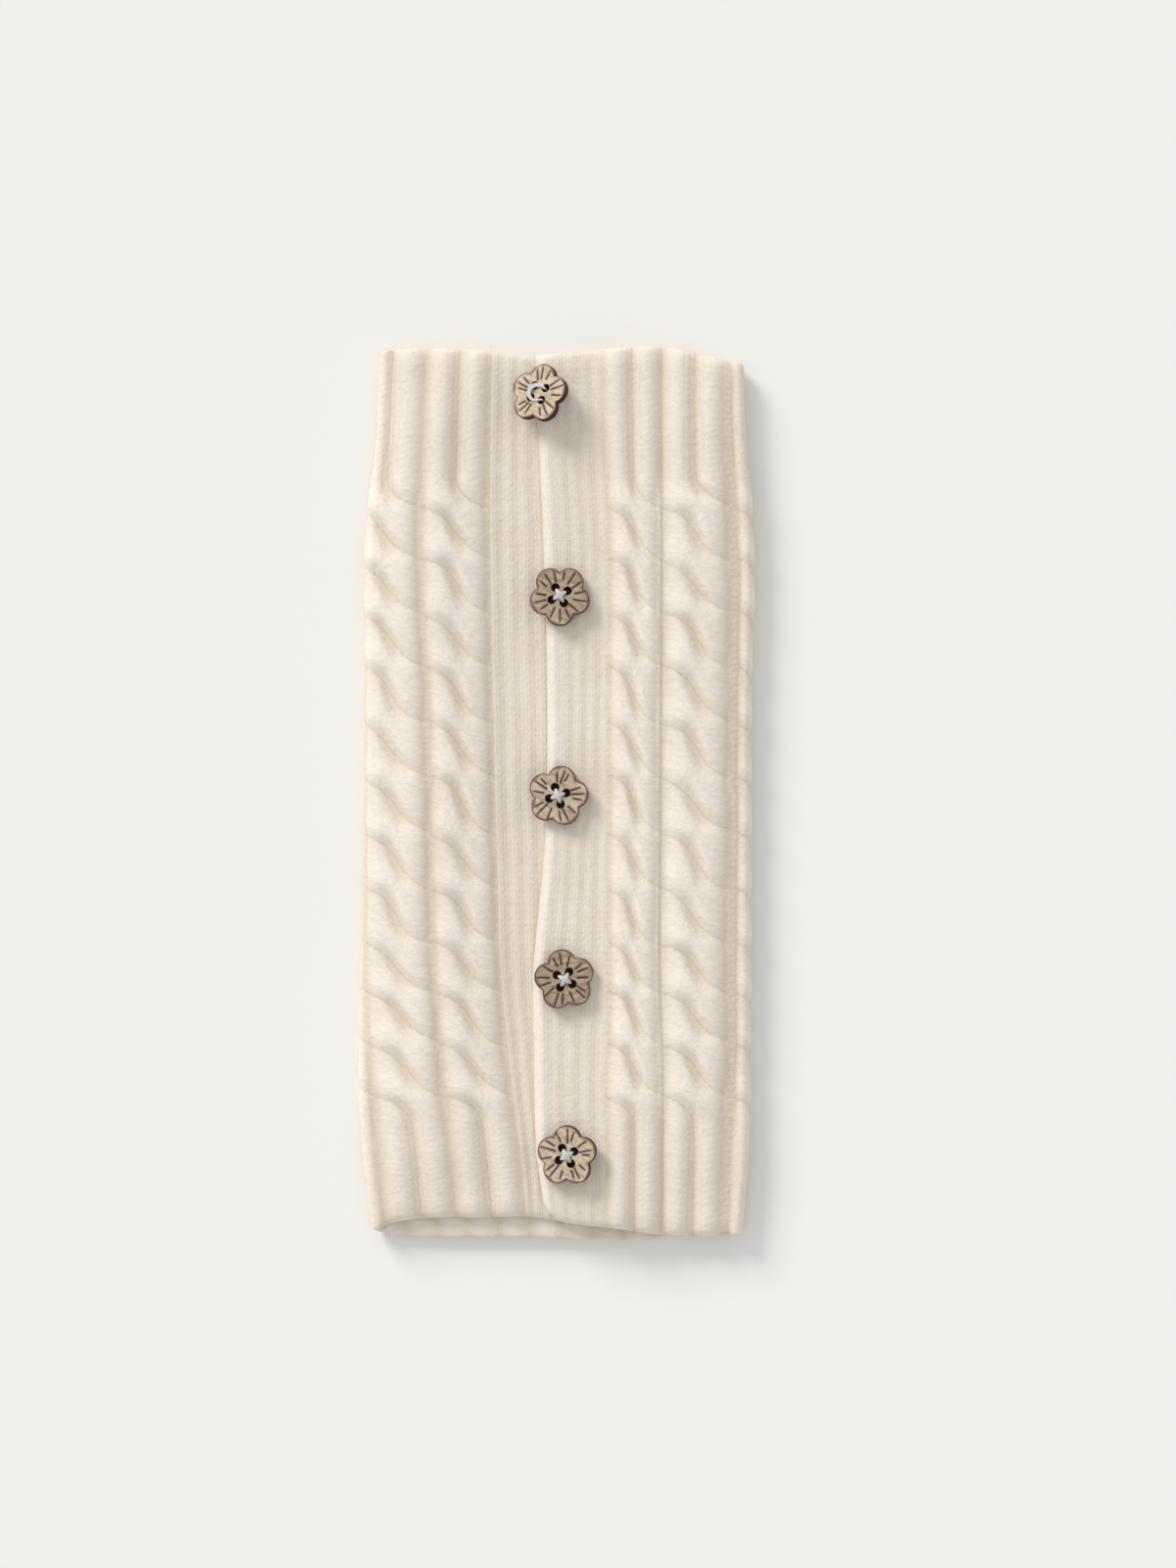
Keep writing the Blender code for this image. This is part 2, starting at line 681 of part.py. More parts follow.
def seat(row):
    """A button's place, its turn and the length of its shank.

    The button comes down until a petal or the shank is a seam's gap from the knit.
    """
    lean, lifted = math.radians(row["lean"]), math.radians(row["lifted_side"])
    tilt = Matrix.Rotation(lean, 3, Vector((math.sin(lifted), -math.cos(lifted), 0)))
    petals = Matrix.Rotation(math.radians(row["petal_turn"]), 3, "Z")
    under = -0.5 * BUTTON_THICK
    shank_foot = under - SEAM_GAP - SHANK_LEAST
    low_points = [tilt @ petals @ Vector((x, y, under)) for x, y in flower_outline()]
    rim = [tilt @ Vector((x, y, shank_foot)) for x, y in ring(SHANK_TAPER * SHANK_RADIUS, 12)]
    clearances = [knit_top(row["x"] + p.x, row["y"] + p.y) - p.z for p in low_points + rim]
    height = max(clearances) + SEAM_GAP
    spare = min(height + p.z - SEAM_GAP - knit_top(row["x"] + p.x, row["y"] + p.y) for p in rim)
    return Vector((row["x"], row["y"], height)) * MM, tilt.to_4x4(), SHANK_LEAST + spare / math.cos(lean)


def make_buttons(wood, thread):
    """The five buttons, each with its sewing thread."""
    for number, row in enumerate(BUTTONS, 1):
        location, tilt, shank = seat(row)
        petal_turn = math.radians(row["petal_turn"])
        hole_turn = math.radians(row["hole_turn"]) - petal_turn
        curve = button_curve(f"button_{number}", hole_turn)
        button = link(f"button_{number}", curve, wood)
        button.matrix_world = Matrix.Translation(location) @ tilt @ Matrix.Rotation(petal_turn, 4, "Z")
        sewing = thread_object(f"thread_{number}", row, shank, thread)
        sewing.matrix_world = Matrix.Translation(location) @ tilt


def main():
    clear_scene()
    wool = material("wool", WOOL)
    make_panel(wool)
    make_bands(wool)
    make_buttons(material("wood", WOOD), material("thread", THREAD))


main()
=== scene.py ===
"""A buttoned cable-knit leg warmer of brushed cream wool, laid flat and seen straight from above.

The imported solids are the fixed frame. Each knitted solid is replaced by a fine knit of the same
form, and each button and its thread by a detailed one in the same place. Shapes are worked out in
millimetres, in the frame of the solids: X across the garment, Y along it and Z up from the table.
"""

import logging
import math
from collections.abc import Callable
from dataclasses import dataclass
from enum import Enum

import bpy
import numpy as np
from mathutils import Matrix, Vector

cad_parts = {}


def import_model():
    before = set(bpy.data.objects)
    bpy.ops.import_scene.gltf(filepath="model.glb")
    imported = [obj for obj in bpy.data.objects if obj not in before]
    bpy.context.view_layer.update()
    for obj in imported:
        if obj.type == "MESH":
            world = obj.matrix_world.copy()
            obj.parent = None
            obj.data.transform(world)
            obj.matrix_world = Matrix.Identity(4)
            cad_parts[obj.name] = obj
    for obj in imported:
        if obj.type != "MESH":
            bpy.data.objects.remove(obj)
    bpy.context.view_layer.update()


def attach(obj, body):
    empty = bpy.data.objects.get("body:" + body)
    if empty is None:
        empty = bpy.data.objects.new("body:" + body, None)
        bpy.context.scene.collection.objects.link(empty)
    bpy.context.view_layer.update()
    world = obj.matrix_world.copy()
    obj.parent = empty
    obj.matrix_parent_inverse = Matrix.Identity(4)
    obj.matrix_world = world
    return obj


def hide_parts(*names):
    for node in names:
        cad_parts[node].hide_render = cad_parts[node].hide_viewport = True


MM = 0.001
BODY = "root"
log = logging.getLogger("leg_warmer")


class Kind(Enum):
    """What a shader socket carries."""

    NUMBER = "number"
    VECTOR = "vector"
    COLOUR = "colour"


class Side(Enum):
    """The two sides of the garment, as signs along X."""

    LEFT = -1
    RIGHT = 1


def smooth(share: np.ndarray) -> np.ndarray:
    """Eases a share from 0 to 1: three times its square less twice its cube."""
    share = np.clip(share, 0.0, 1.0)
    return share * share * (3.0 - 2.0 * share)


def blend(low: np.ndarray, high: np.ndarray, share: np.ndarray) -> np.ndarray:
    """The value a share of the way from low to high."""
    return low + (high - low) * share


def xyz(x: np.ndarray, y: np.ndarray, z: np.ndarray) -> np.ndarray:
    """Points from their three coordinates, which spread over each other's shapes."""
    return np.stack(np.broadcast_arrays(x, y, z), axis=-1)


def unit(ways: np.ndarray) -> np.ndarray:
    """The same directions, each of length 1."""
    return ways / np.maximum(np.linalg.norm(ways, axis=-1, keepdims=True), 1e-9)


def square_to(ways: np.ndarray, along: np.ndarray) -> np.ndarray:
    """Directions of length 1: the given ones, less what of them lies along other ones."""
    return unit(ways - np.sum(ways * along, axis=-1, keepdims=True) * along)


def curve_through(rows: np.ndarray, values: np.ndarray, at: np.ndarray) -> np.ndarray:
    """Reads a smooth curve through a table.

    Each stretch is a cubic that leaves both of its ends along the table's own slopes.

    Args:
        rows: Where the table's values lie, rising.
        values: The values themselves.
        at: The places to read, of any shape.

    Returns:
        The curve's values, shaped like the places.
    """
    slopes = np.gradient(values, rows)
    i = np.clip(np.searchsorted(rows, at) - 1, 0, len(rows) - 2)
    step = rows[i + 1] - rows[i]
    t = np.clip((at - rows[i]) / step, 0.0, 1.0)
    start = (1 + 2 * t) * (1 - t) ** 2 * values[i] + t * (1 - t) ** 2 * step * slopes[i]
    end = t * t * (3 - 2 * t) * values[i + 1] + t * t * (t - 1) * step * slopes[i + 1]
    return start + end


def wander(x: np.ndarray, y: np.ndarray, size: float, turn: float = 0.0) -> np.ndarray:
    """A gentle unevenness between -1 and 1: the mean of three crossed sine waves.

    Args:
        x: Distance across, in millimetres.
        y: Distance along, in millimetres.
        size: Length of the waves, in millimetres.
        turn: Shifts the waves, so that two uses differ.

    Returns:
        The unevenness at each place.
    """
    k = 2 * math.pi / size
    first = np.sin(k * (x + 0.37 * y) + turn)
    second = np.sin(k * (0.61 * y - 0.42 * x) * 1.31 + 1.7 * turn + 1.0)
    third = np.sin(k * (0.83 * y + 0.29 * x) * 0.57 + 0.6 * turn + 2.3)
    return (first + second + third) / 3.0


def table(names: str, *rows: tuple) -> np.ndarray:
    """A table whose columns have names: numbers, or yes and no where the first row says so."""
    kinds = [type(value) if isinstance(value, bool) else float for value in rows[0]]
    return np.array(list(rows), dtype=list(zip(names.split(), kinds)))


# Where the long lines lie across the garment, by the height y.
LINES = table(
    "y left groove_ab under_seam band_edge over_seam groove_cd groove_de right",
    (-150.7, -62.6, -33.7, -10.3, -5.0, 16.7, 35.7, 56.3, 63.2),
    (-123.3, -66.3, -35.7, -12.3, -7.0, 17.0, 36.0, 57.0, 66.0),
    (-90.0, -67.2, -39.3, -16.3, -7.7, 17.3, 36.0, 58.7, 65.7),
    (-63.3, -67.0, -41.3, -19.0, -8.0, 17.7, 35.0, 58.8, 66.0),
    (-16.7, -66.2, -42.7, -20.5, -4.0, 17.7, 35.2, 59.2, 66.0),
    (36.7, -65.8, -44.0, -22.0, -3.3, 17.7, 35.5, 59.7, 66.3),
    (90.0, -65.0, -46.3, -22.7, -4.7, 17.7, 35.7, 59.3, 67.0),
    (123.3, -61.3, -44.7, -22.7, -6.3, 15.7, 35.8, 58.0, 64.7),
    (151.0, -60.0, -43.7, -22.0, -7.3, 15.0, 36.0, 58.0, 63.7),
)
# Where the hems lie along the garment, by the distance x from its middle.
HEMS = table(
    "x top front_bottom back_bottom",
    (-64.0, 148.9, -148.8, -149.2),
    (-56.0, 151.0, -146.2, -150.2),
    (-42.0, 151.7, -144.4, -150.9),
    (-25.0, 151.0, -144.4, -150.9),
    (-9.0, 149.3, -144.2, -151.0),
    (6.0, 150.2, -146.4, -151.6),
    (20.0, 151.5, -147.9, -152.2),
    (34.0, 152.3, -150.0, -151.4),
    (47.0, 150.3, -150.7, -150.7),
    (57.0, 147.5, -150.3, -150.3),
    (66.0, 144.4, -148.3, -148.3),
)
# The buttons from the top: place, the turns of petals and holes and the lean in degrees, whether
# the thread is one slack loop, and the wood's tone.
BUTTONS = table(
    "x y petal_turn hole_turn lean lifted_side loop_stitch tone",
    (-5.7, 135.5, 7.0, 27.0, 29.0, -30.0, True, 0.8),
    (1.1, 67.2, 54.0, 29.0, 4.0, -60.0, False, 0.2),
    (0.5, -0.7, 6.0, 18.0, 3.0, -30.0, False, 0.62),
    (2.7, -63.0, 27.0, 60.0, 4.0, 215.0, False, 0.12),
    (3.6, -122.7, 18.0, 30.0, 9.0, -10.0, False, 0.75),
)


@dataclass(frozen=True)
class Lip:
    """A rounded edge of a knitted wall, which rolls over from its outer face to its inner one.

    Attributes:
        reach: How far in from the edge the roll goes.
        turns: Angles round the roll in degrees, from the inner face at -90 to the outer at 90.
        crown: Share of the wall's thickness at which the edge reaches furthest out.
        tucks: How far past the roll the inner face carries on in fine rows.
        keeps: Share of its thickness that the wall keeps at the edge.
    """

    reach: float
    turns: tuple[float, ...] = (-90, -55, -25, 0, 25, 48, 70, 90)
    crown: float = 0.5
    tucks: tuple[float, ...] = (7.0, 4.5, 2.0)
    keeps: float = 1.0

    def path(self) -> tuple[np.ndarray, np.ndarray]:
        """Follows the edge from inside to outside.

        The distance in from the edge is the reach times one less the angle's cosine. The share of
        the wall's thickness goes with the angle's sine, from 0 to the crown and from there to 1.

        Returns:
            The distances in from the edge, and the shares of the wall's thickness.
        """
        angle = np.radians(np.array(self.turns, dtype=float))
        inward = self.reach * (1 - np.cos(angle))
        sine = np.sin(angle)
        share = np.where(sine < 0, self.crown * (1 + sine), self.crown + (1 - self.crown) * sine)
        tucks = self.reach + np.array(self.tucks)
        return np.concatenate([tucks, inward]), np.concatenate([0 * tucks, share])


@dataclass(frozen=True)
class Garment:
    """Driving sizes of the leg warmer, and the long curves that its pieces share.

    Attributes:
        wall: Thickness of the plain ground.
        back: Thickness of the back layer, whose cables are pressed flat.
        hem: Nominal distance from the middle to each hem.
        middle_gap: Half the space between the layers along most of the garment.
        mouth_gap: The same at its two open ends.
        gap_reach: How far in from a hem the space changes, and the front's swelling fades.
        over_lift: How high the button band lies above the front layer's inner face.
        lift_reach: Width over which the panel comes down beside the button band.
        pillow: How far each half of the front layer swells up, at the most.
        cable_top: Height at which the cables start.
        cable_end: Height at which they end.
        back_top_short: How far the back layer's top hem lies below the front's.
        hem_lip: The rolled edge at a hem.
        fold_lip: The same at a fold, where it keeps the hem's corner square.
        thin_reach: How far in from a hem the wall thins out.
    """

    wall: float = 2.2
    back: float = 4.4
    hem: float = 150.0
    middle_gap: float = 0.4
    mouth_gap: float = 0.3
    gap_reach: float = 30.0
    over_lift: float = 3.0
    lift_reach: float = 26.0
    pillow: float = 2.2
    cable_top: float = 106.7
    cable_end: float = -111.3
    back_top_short: float = 1.2
    hem_lip: Lip = Lip(2.4, crown=0.14, keeps=0.8)
    fold_lip: Lip = Lip(2.4, crown=0.88)
    thin_reach: float = 6.0

    def line(self, name: str, y: np.ndarray) -> np.ndarray:
        """Distance from the middle of one of the long lines, at the heights y."""
        return curve_through(LINES["y"], LINES[name], y)

    def hem_at(self, name: str, x: np.ndarray) -> np.ndarray:
        """Where a hem lies along the garment, at the distances x from the middle."""
        places = HEMS["x"]
        return curve_through(places, HEMS[name], np.clip(x, places[0], places[-1]))

    def half_gap(self, y: np.ndarray) -> np.ndarray:
        """Half the space between the layers, which eases to the mouths' own towards both ends."""
        near_hem = smooth((np.abs(y) - self.hem + self.gap_reach) / self.gap_reach)
        return blend(self.middle_gap, self.mouth_gap, near_hem)

    def front_floor(self, y: np.ndarray) -> np.ndarray:
        """Height of the front layer's inner face: the back layer and the space above it."""
        return self.back + 2 * self.half_gap(y)

    def swell(self, x: np.ndarray, y: np.ndarray) -> np.ndarray:
        """How far the front layer swells up: the square of a sine over each half of the front."""
        fade = smooth((self.hem - np.abs(y)) / self.gap_reach)
        rise = 0.0
        for low, high in (("left", "under_seam"), ("over_seam", "right")):
            start, end = self.line(low, y), self.line(high, y)
            rise = rise + np.sin(math.pi * np.clip((x - start) / (end - start), 0, 1)) ** 2
        return self.pillow * fade * rise

    def to_hems(self, x: np.ndarray, y: np.ndarray, layer: np.ndarray) -> np.ndarray:
        """Moves the rows of both cuffs so that the last ones lie on the hems.

        Args:
            x: Distance across, which tells how far each hem lies.
            y: Nominal height, from minus hem to hem.
            layer: 0 on the front layer, 1 on the back, between them on a fold.

        Returns:
            The heights that the rows really have.
        """
        low = blend(self.hem_at("front_bottom", x), self.hem_at("back_bottom", x), layer)
        high = self.hem_at("top", x) - self.back_top_short * layer
        down = smooth((self.cable_end - y) / (self.hem + self.cable_end))
        up = smooth((y - self.cable_top) / (self.hem - self.cable_top))
        return y + down * (low + self.hem) + up * (high - self.hem)

    def rows(self, step: float, lip: Lip) -> tuple[np.ndarray, np.ndarray]:
        """Heights of a piece's rows, both hems' rolls among them.

        Args:
            step: Distance between rows.
            lip: The rolled edge at both hems.

        Returns:
            A column of heights, and a column of shares of the wall's thickness.
        """
        inward, share = lip.path()
        plain = self.hem - lip.reach
        count = int(round(2 * plain / step))
        middle = np.linspace(-plain, plain, count + 1)[1:-1]
        y = np.concatenate([inward - self.hem, middle, (self.hem - inward)[::-1]])
        shares = np.concatenate([share, np.ones(len(middle)), share[::-1]])
        shares = shares * blend(lip.keeps, 1.0, smooth((self.hem - np.abs(y)) / self.thin_reach))
        return y[:, None], shares[:, None]


@dataclass
class Rope:
    """What a cable measures at each point of a grid.

    Attributes:
        height: How far it stands above the ground.
        column: Columns of stitches across a strand, from its edge.
    """

    height: np.ndarray
    column: np.ndarray


@dataclass(frozen=True)
class Cable:
    """A two-strand cable, whose strands run on as two straight ribs in the cuffs.

    Each strand that shows is a lobe between two creases. A crease starts at the cable's left, runs
    down steeply through its middle, where it widens to a pit, and ends at its right, one crossing
    lower.

    Attributes:
        pitch: From one cable to the next.
        reach: From the cable's middle to the foot of its side.
        height: Height of its crest above the ground.
        floor: Height of the groove beside it.
        slant: Share of a crease's slope that is the same all along it.
        steep: Half the width of the middle part, where a crease is steep.
        crease: Depth of a crease at the cable's sides, as a share of the height.
        crease_width: Half its width there.
        pit: Depth of a crease in the middle.
        pit_width: Half its width there.
        pit_reach: How far the pit reaches to each side of the cable's middle.
        overlap: How much higher a lobe is beside its lower crease, most so at its left, as a share.
        dome: How much lower the cable is at its sides, as a share.
        scallop: How far its sides draw in at a crease.
        scallop_reach: How far from a crease they do so.
        side_power: Power of the distance across that shapes its sides.
        side_round: Power that makes their foot steeper.
        cuff_height: Height of a cuff's ribs.
        early: How far before its first crease it starts to twist, and after its last one stops.
        ease: Length over which a cuff's straight ribs start to twist.
        sway: How far the hand-made strands stray sideways.
        uneven: Share by which the crossings and the height vary.
        pit_uneven: Share by which the pits' depth varies.
        stitches: Columns of stitches in a strand.
        swap_rows: Heights at which a crease crosses the cable's middle, from the top down.
    """

    pitch: float = 22.0
    reach: float = 10.5
    height: float = 3.4
    floor: float = 1.0
    slant: float = 0.4
    steep: float = 4.2
    crease: float = 0.12
    crease_width: float = 1.8
    pit: float = 0.8
    pit_width: float = 2.5
    pit_reach: float = 4.8
    overlap: float = 0.07
    dome: float = 0.4
    scallop: float = 0.5
    scallop_reach: float = 2.4
    side_power: float = 6.0
    side_round: float = 0.8
    cuff_height: float = 2.5
    early: float = 5.0
    ease: float = 13.0
    sway: float = 0.4
    uneven: float = 0.06
    pit_uneven: float = 0.15
    stitches: float = 3.0
    swap_rows: tuple[float, ...] = (
        106.7, 88.7, 70.7, 52.3, 34.0, 15.3, -4.0, -22.7, -41.7, -59.0, -76.3, -93.5, -111.3,
    )

    def crossings(self, y: np.ndarray) -> np.ndarray:
        """How many creases have crossed the cable's middle above the heights y."""
        rows = np.array(self.swap_rows[::-1])
        return np.interp(y, rows, np.arange(len(rows))[::-1])

    def measure(
        self, u: np.ndarray, y: np.ndarray, wobble: np.ndarray, fill: np.ndarray | float
    ) -> Rope:
        """Works out the cable over a grid.

        A place's share of a lobe is the count of crossings above it less the crease's own shape,
        which is partly straight and partly a hyperbolic tangent of the distance across. The
        distance square to a crease is the distance along the cable, over the root of one and the
        crease's slope squared. A crease is a bell curve of that distance, deeper and wider where
        a second bell curve marks the cable's middle. The cable's side is one less a high power of
        the distance across. A cuff's rib is a power of a sine. The strand and the groove's floor
        run together as the cube root of the sum of their cubes.

        Args:
            u: Distance from the cable's middle.
            y: Height along the garment.
            wobble: Unevenness of the hand-made strands, between -1 and 1.
            fill: How much shallower the groove beside it is.

        Returns:
            The cable's height and its stitch columns.
        """
        top, bottom = self.swap_rows[0], self.swap_rows[-1]
        spacing = (top - bottom) / (len(self.swap_rows) - 1)
        above, below = top + self.early - y, y - bottom + self.early
        twisted = smooth(above / self.ease) * smooth(below / self.ease)
        u = u - self.sway * wobble * twisted
        across = 2 * u / self.pitch
        bent = np.tanh(u / self.steep)
        slant = self.slant * twisted
        share = self.crossings(y) + self.uneven * wobble * twisted
        share = share - 0.5 * blend(bent, across, slant)
        part = share - np.floor(share)
        slope = 0.5 * spacing * ((1 - slant) * (1 - bent**2) / self.steep + slant * 2 / self.pitch)
        near = np.minimum(part, 1 - part) * spacing / np.sqrt(1 + slope**2)
        middle = np.exp(-((u / self.pit_reach) ** 2))
        depth = blend(self.crease, self.pit * (1 + self.pit_uneven * wobble), middle)
        width = blend(self.crease_width, self.pit_width, middle)
        lobe = 1 - depth * np.exp(-((near / width) ** 2)) - self.dome * across**2
        lobe = lobe + self.overlap * (across - 1) * np.sin(2 * math.pi * part)
        reach = self.reach - self.scallop * np.exp(-((near / self.scallop_reach) ** 2))
        side = np.clip(1 - np.abs(u / reach) ** self.side_power, 0.0, 1.0) ** self.side_round
        rope = self.height * side * lobe * (1 + self.uneven * wobble)
        rib = self.cuff_height * np.abs(np.sin(math.pi * np.clip(across, -1, 1))) ** self.side_round
        floor = self.floor + fill * twisted
        height = (blend(rib, rope, twisted) ** 3 + floor**3) ** (1 / 3)
        return Rope(height, part * self.stitches)


@dataclass
class Cloth:
    """Grid arrays of a stretch of knitted wall, which join side by side into a piece.

    Attributes:
        inner: Points of its inner face.
        out: Directions from the inner face to the outer one.
        thick: Its thickness.
        column: Stitch columns across its strands or ribs.
        body: 1 on a raised strand or rib, 0 on the ground between them; the wool's colour is darker
            towards 0, as painted shade.
        purl: 1 where the knit shows its purl side, which the wool also paints darker as shade.
    """

    inner: np.ndarray
    out: np.ndarray
    thick: np.ndarray
    column: np.ndarray
    body: np.ndarray
    purl: np.ndarray

    @staticmethod
    def beside(parts: "list[Cloth]") -> "Cloth":
        """Joins stretches side by side."""
        names = list(Cloth.__dataclass_fields__)
        return Cloth(*(np.concatenate([getattr(p, name) for p in parts], axis=1) for name in names))

    def outer(self) -> np.ndarray:
        """Points of the outer face: the inner ones, moved out by the thickness."""
        return self.inner + self.out * self.thick[..., None]

    def normals(self) -> np.ndarray:
        """Unit normals of the outer face: the cross product of its two slopes."""
        points = self.outer()
        across, along = np.gradient(points, axis=1), np.gradient(points, axis=0)
        return unit(np.cross(along, across))


def grid_faces(rows: int, columns: int, start: int = 0) -> np.ndarray:
    """Corner numbers of a grid's four-sided faces: each point, its neighbour in the next row, the
    one beside that, and its neighbour in its own row."""
    at = np.arange(rows * columns).reshape(rows, columns) + start
    return np.stack([at[:-1, :-1], at[1:, :-1], at[1:, 1:], at[:-1, 1:]], axis=-1).reshape(-1, 4)


def ring_faces(at: np.ndarray) -> np.ndarray:
    """Corner numbers of the four-sided faces of rings, which close round: each corner, the next
    ring's, the one beside that, and the one beside the first."""
    after = np.roll(at, -1, axis=-1)
    corners = [at[..., :-1, :], at[..., 1:, :], after[..., 1:, :], after[..., :-1, :]]
    return np.stack(corners, axis=-1).reshape(-1, 4)


def border(at: np.ndarray) -> list[np.ndarray]:
    """The four sides of a grid of corner numbers, in an order that runs round it."""
    return [at[0], at[:, -1], at[-1, ::-1], at[::-1, 0]]


def spaced(count: int, inset: int, step: int) -> np.ndarray:
    """Places in a row of points: about a step apart, from an inset to as far from its end."""
    many = max(2, (count - 2 * inset) // step)
    return np.rint(np.linspace(inset, count - 1 - inset, many)).astype(int)


def zip_faces(fine: np.ndarray, coarse: np.ndarray, near: np.ndarray) -> np.ndarray:
    """Triangles between a fine row of corners and a coarse one.

    Each step of the fine row meets the coarse corner nearest to its start, and where that corner
    changes, one more triangle fills the step of the coarse row.

    Args:
        fine: Corner numbers of the fine row.
        coarse: Corner numbers of the coarse row.
        near: For each corner of the fine row, the place in the coarse row of the nearest corner.

    Returns:
        The triangles' corner numbers.
    """
    steps = np.stack([fine[:-1], fine[1:], coarse[near[:-1]]], axis=-1)
    change = np.flatnonzero(near[1:] != near[:-1])
    fills = np.stack([coarse[near[change]], fine[change + 1], coarse[near[change + 1]]], axis=-1)
    return np.concatenate([steps, fills])


class Stitch:
    """Size of one stitch, in millimetres."""

    WIDTH = 2.9
    ROW = 2.3


class Maker:
    """Puts arrays into meshes and meshes into the scene."""

    @staticmethod
    def mesh(name: str, points: np.ndarray, faces: list[np.ndarray]) -> bpy.types.Mesh:
        """Makes a smooth mesh.

        Args:
            name: The mesh's name.
            points: Its points in millimetres, as an array of three columns.
            faces: Arrays of corner numbers, each of one number of corners.

        Returns:
            The mesh, in metres.
        """
        made = bpy.data.meshes.new(name)
        corners = np.concatenate([part.ravel() for part in faces]).astype(np.int32)
        totals = np.concatenate([np.full(len(part), part.shape[1]) for part in faces])
        starts = np.concatenate([[0], np.cumsum(totals)[:-1]])
        made.vertices.add(len(points))
        made.vertices.foreach_set("co", (points * MM).astype(np.float32).ravel())
        made.loops.add(len(corners))
        made.loops.foreach_set("vertex_index", corners)
        made.polygons.add(len(totals))
        made.polygons.foreach_set("loop_start", starts.astype(np.int32))
        made.update(calc_edges=True)
        made.validate()
        made.shade_smooth()
        return made

    @staticmethod
    def mark(mesh: bpy.types.Mesh, name: str, values: np.ndarray) -> None:
        """Stores three numbers at each of a mesh's points, for its material to read."""
        stored = mesh.attributes.new(name, "FLOAT_VECTOR", "POINT")
        stored.data.foreach_set("vector", values.astype(np.float32).ravel())

    @staticmethod
    def place(name: str, data: bpy.types.ID) -> bpy.types.Object:
        """Puts a mesh, a light or a camera into the scene as an object."""
        made = bpy.data.objects.new(name, data)
        bpy.context.scene.collection.objects.link(made)
        return made

    @staticmethod
    def piece(mesh: bpy.types.Mesh, finish: bpy.types.Material, slot: str) -> bpy.types.Object:
        """Puts a mesh into the scene as a piece of the garment.

        Args:
            mesh: The piece's mesh, whose name it takes.
            finish: Its material.
            slot: Not used.

        Returns:
            The piece.
        """
        made = Maker.place(mesh.name, mesh)
        mesh.materials.append(finish)
        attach(made, BODY)
        return made

    @staticmethod
    def wall(name: str, cloth: Cloth, y: np.ndarray) -> bpy.types.Mesh:
        """Makes a closed knitted wall, and marks its points for the wool's material.

        The fine grid rolls over each edge onto the inner face. A coarse grid of some of the same
        inner points closes that face, and triangles zip the fine grid's edge to it.

        Args:
            name: The mesh's name.
            cloth: The fine grid.
            y: The fine grid's heights, which count the rows of stitches.

        Returns:
            The mesh.
        """
        points = cloth.outer()
        shape = points.shape[:2]
        picks = spaced(shape[0], 16, 12), spaced(shape[1], 10, 6)
        few = tuple(len(pick) for pick in picks)
        fine = np.arange(shape[0] * shape[1]).reshape(shape)
        coarse = np.arange(few[0] * few[1]).reshape(few) + fine.size
        faces = [grid_faces(*shape), grid_faces(*few, fine.size)[:, ::-1]]
        along, across = (
            np.rint(np.interp(np.arange(many), pick, np.arange(len(pick)))).astype(int)
            for many, pick in zip(shape, picks)
        )
        near = (across, along, few[1] - 1 - across[::-1], few[0] - 1 - along[::-1])
        sides = zip(border(fine), border(coarse), near)
        faces.append(np.concatenate([zip_faces(*side) for side in sides]))

        def both(outer: np.ndarray, inner: np.ndarray) -> np.ndarray:
            """The fine grid's values, and then the coarse one's."""
            return np.concatenate([outer.reshape(-1, 3), inner[np.ix_(*picks)].reshape(-1, 3)])

        made = Maker.mesh(name, both(points, cloth.inner), faces)
        stitch_at = xyz(cloth.column, y / Stitch.ROW, points[..., 0] / Stitch.WIDTH)
        # Raised share and purl side, which the wool reads for its stitches and for painted shade.
        stitch_kind_and_shade = xyz(cloth.body, cloth.purl, 0)
        Maker.mark(made, "stitch_at", both(stitch_at, stitch_at))
        Maker.mark(made, "stitch_kind_and_shade", both(stitch_kind_and_shade, stitch_kind_and_shade))
        return made


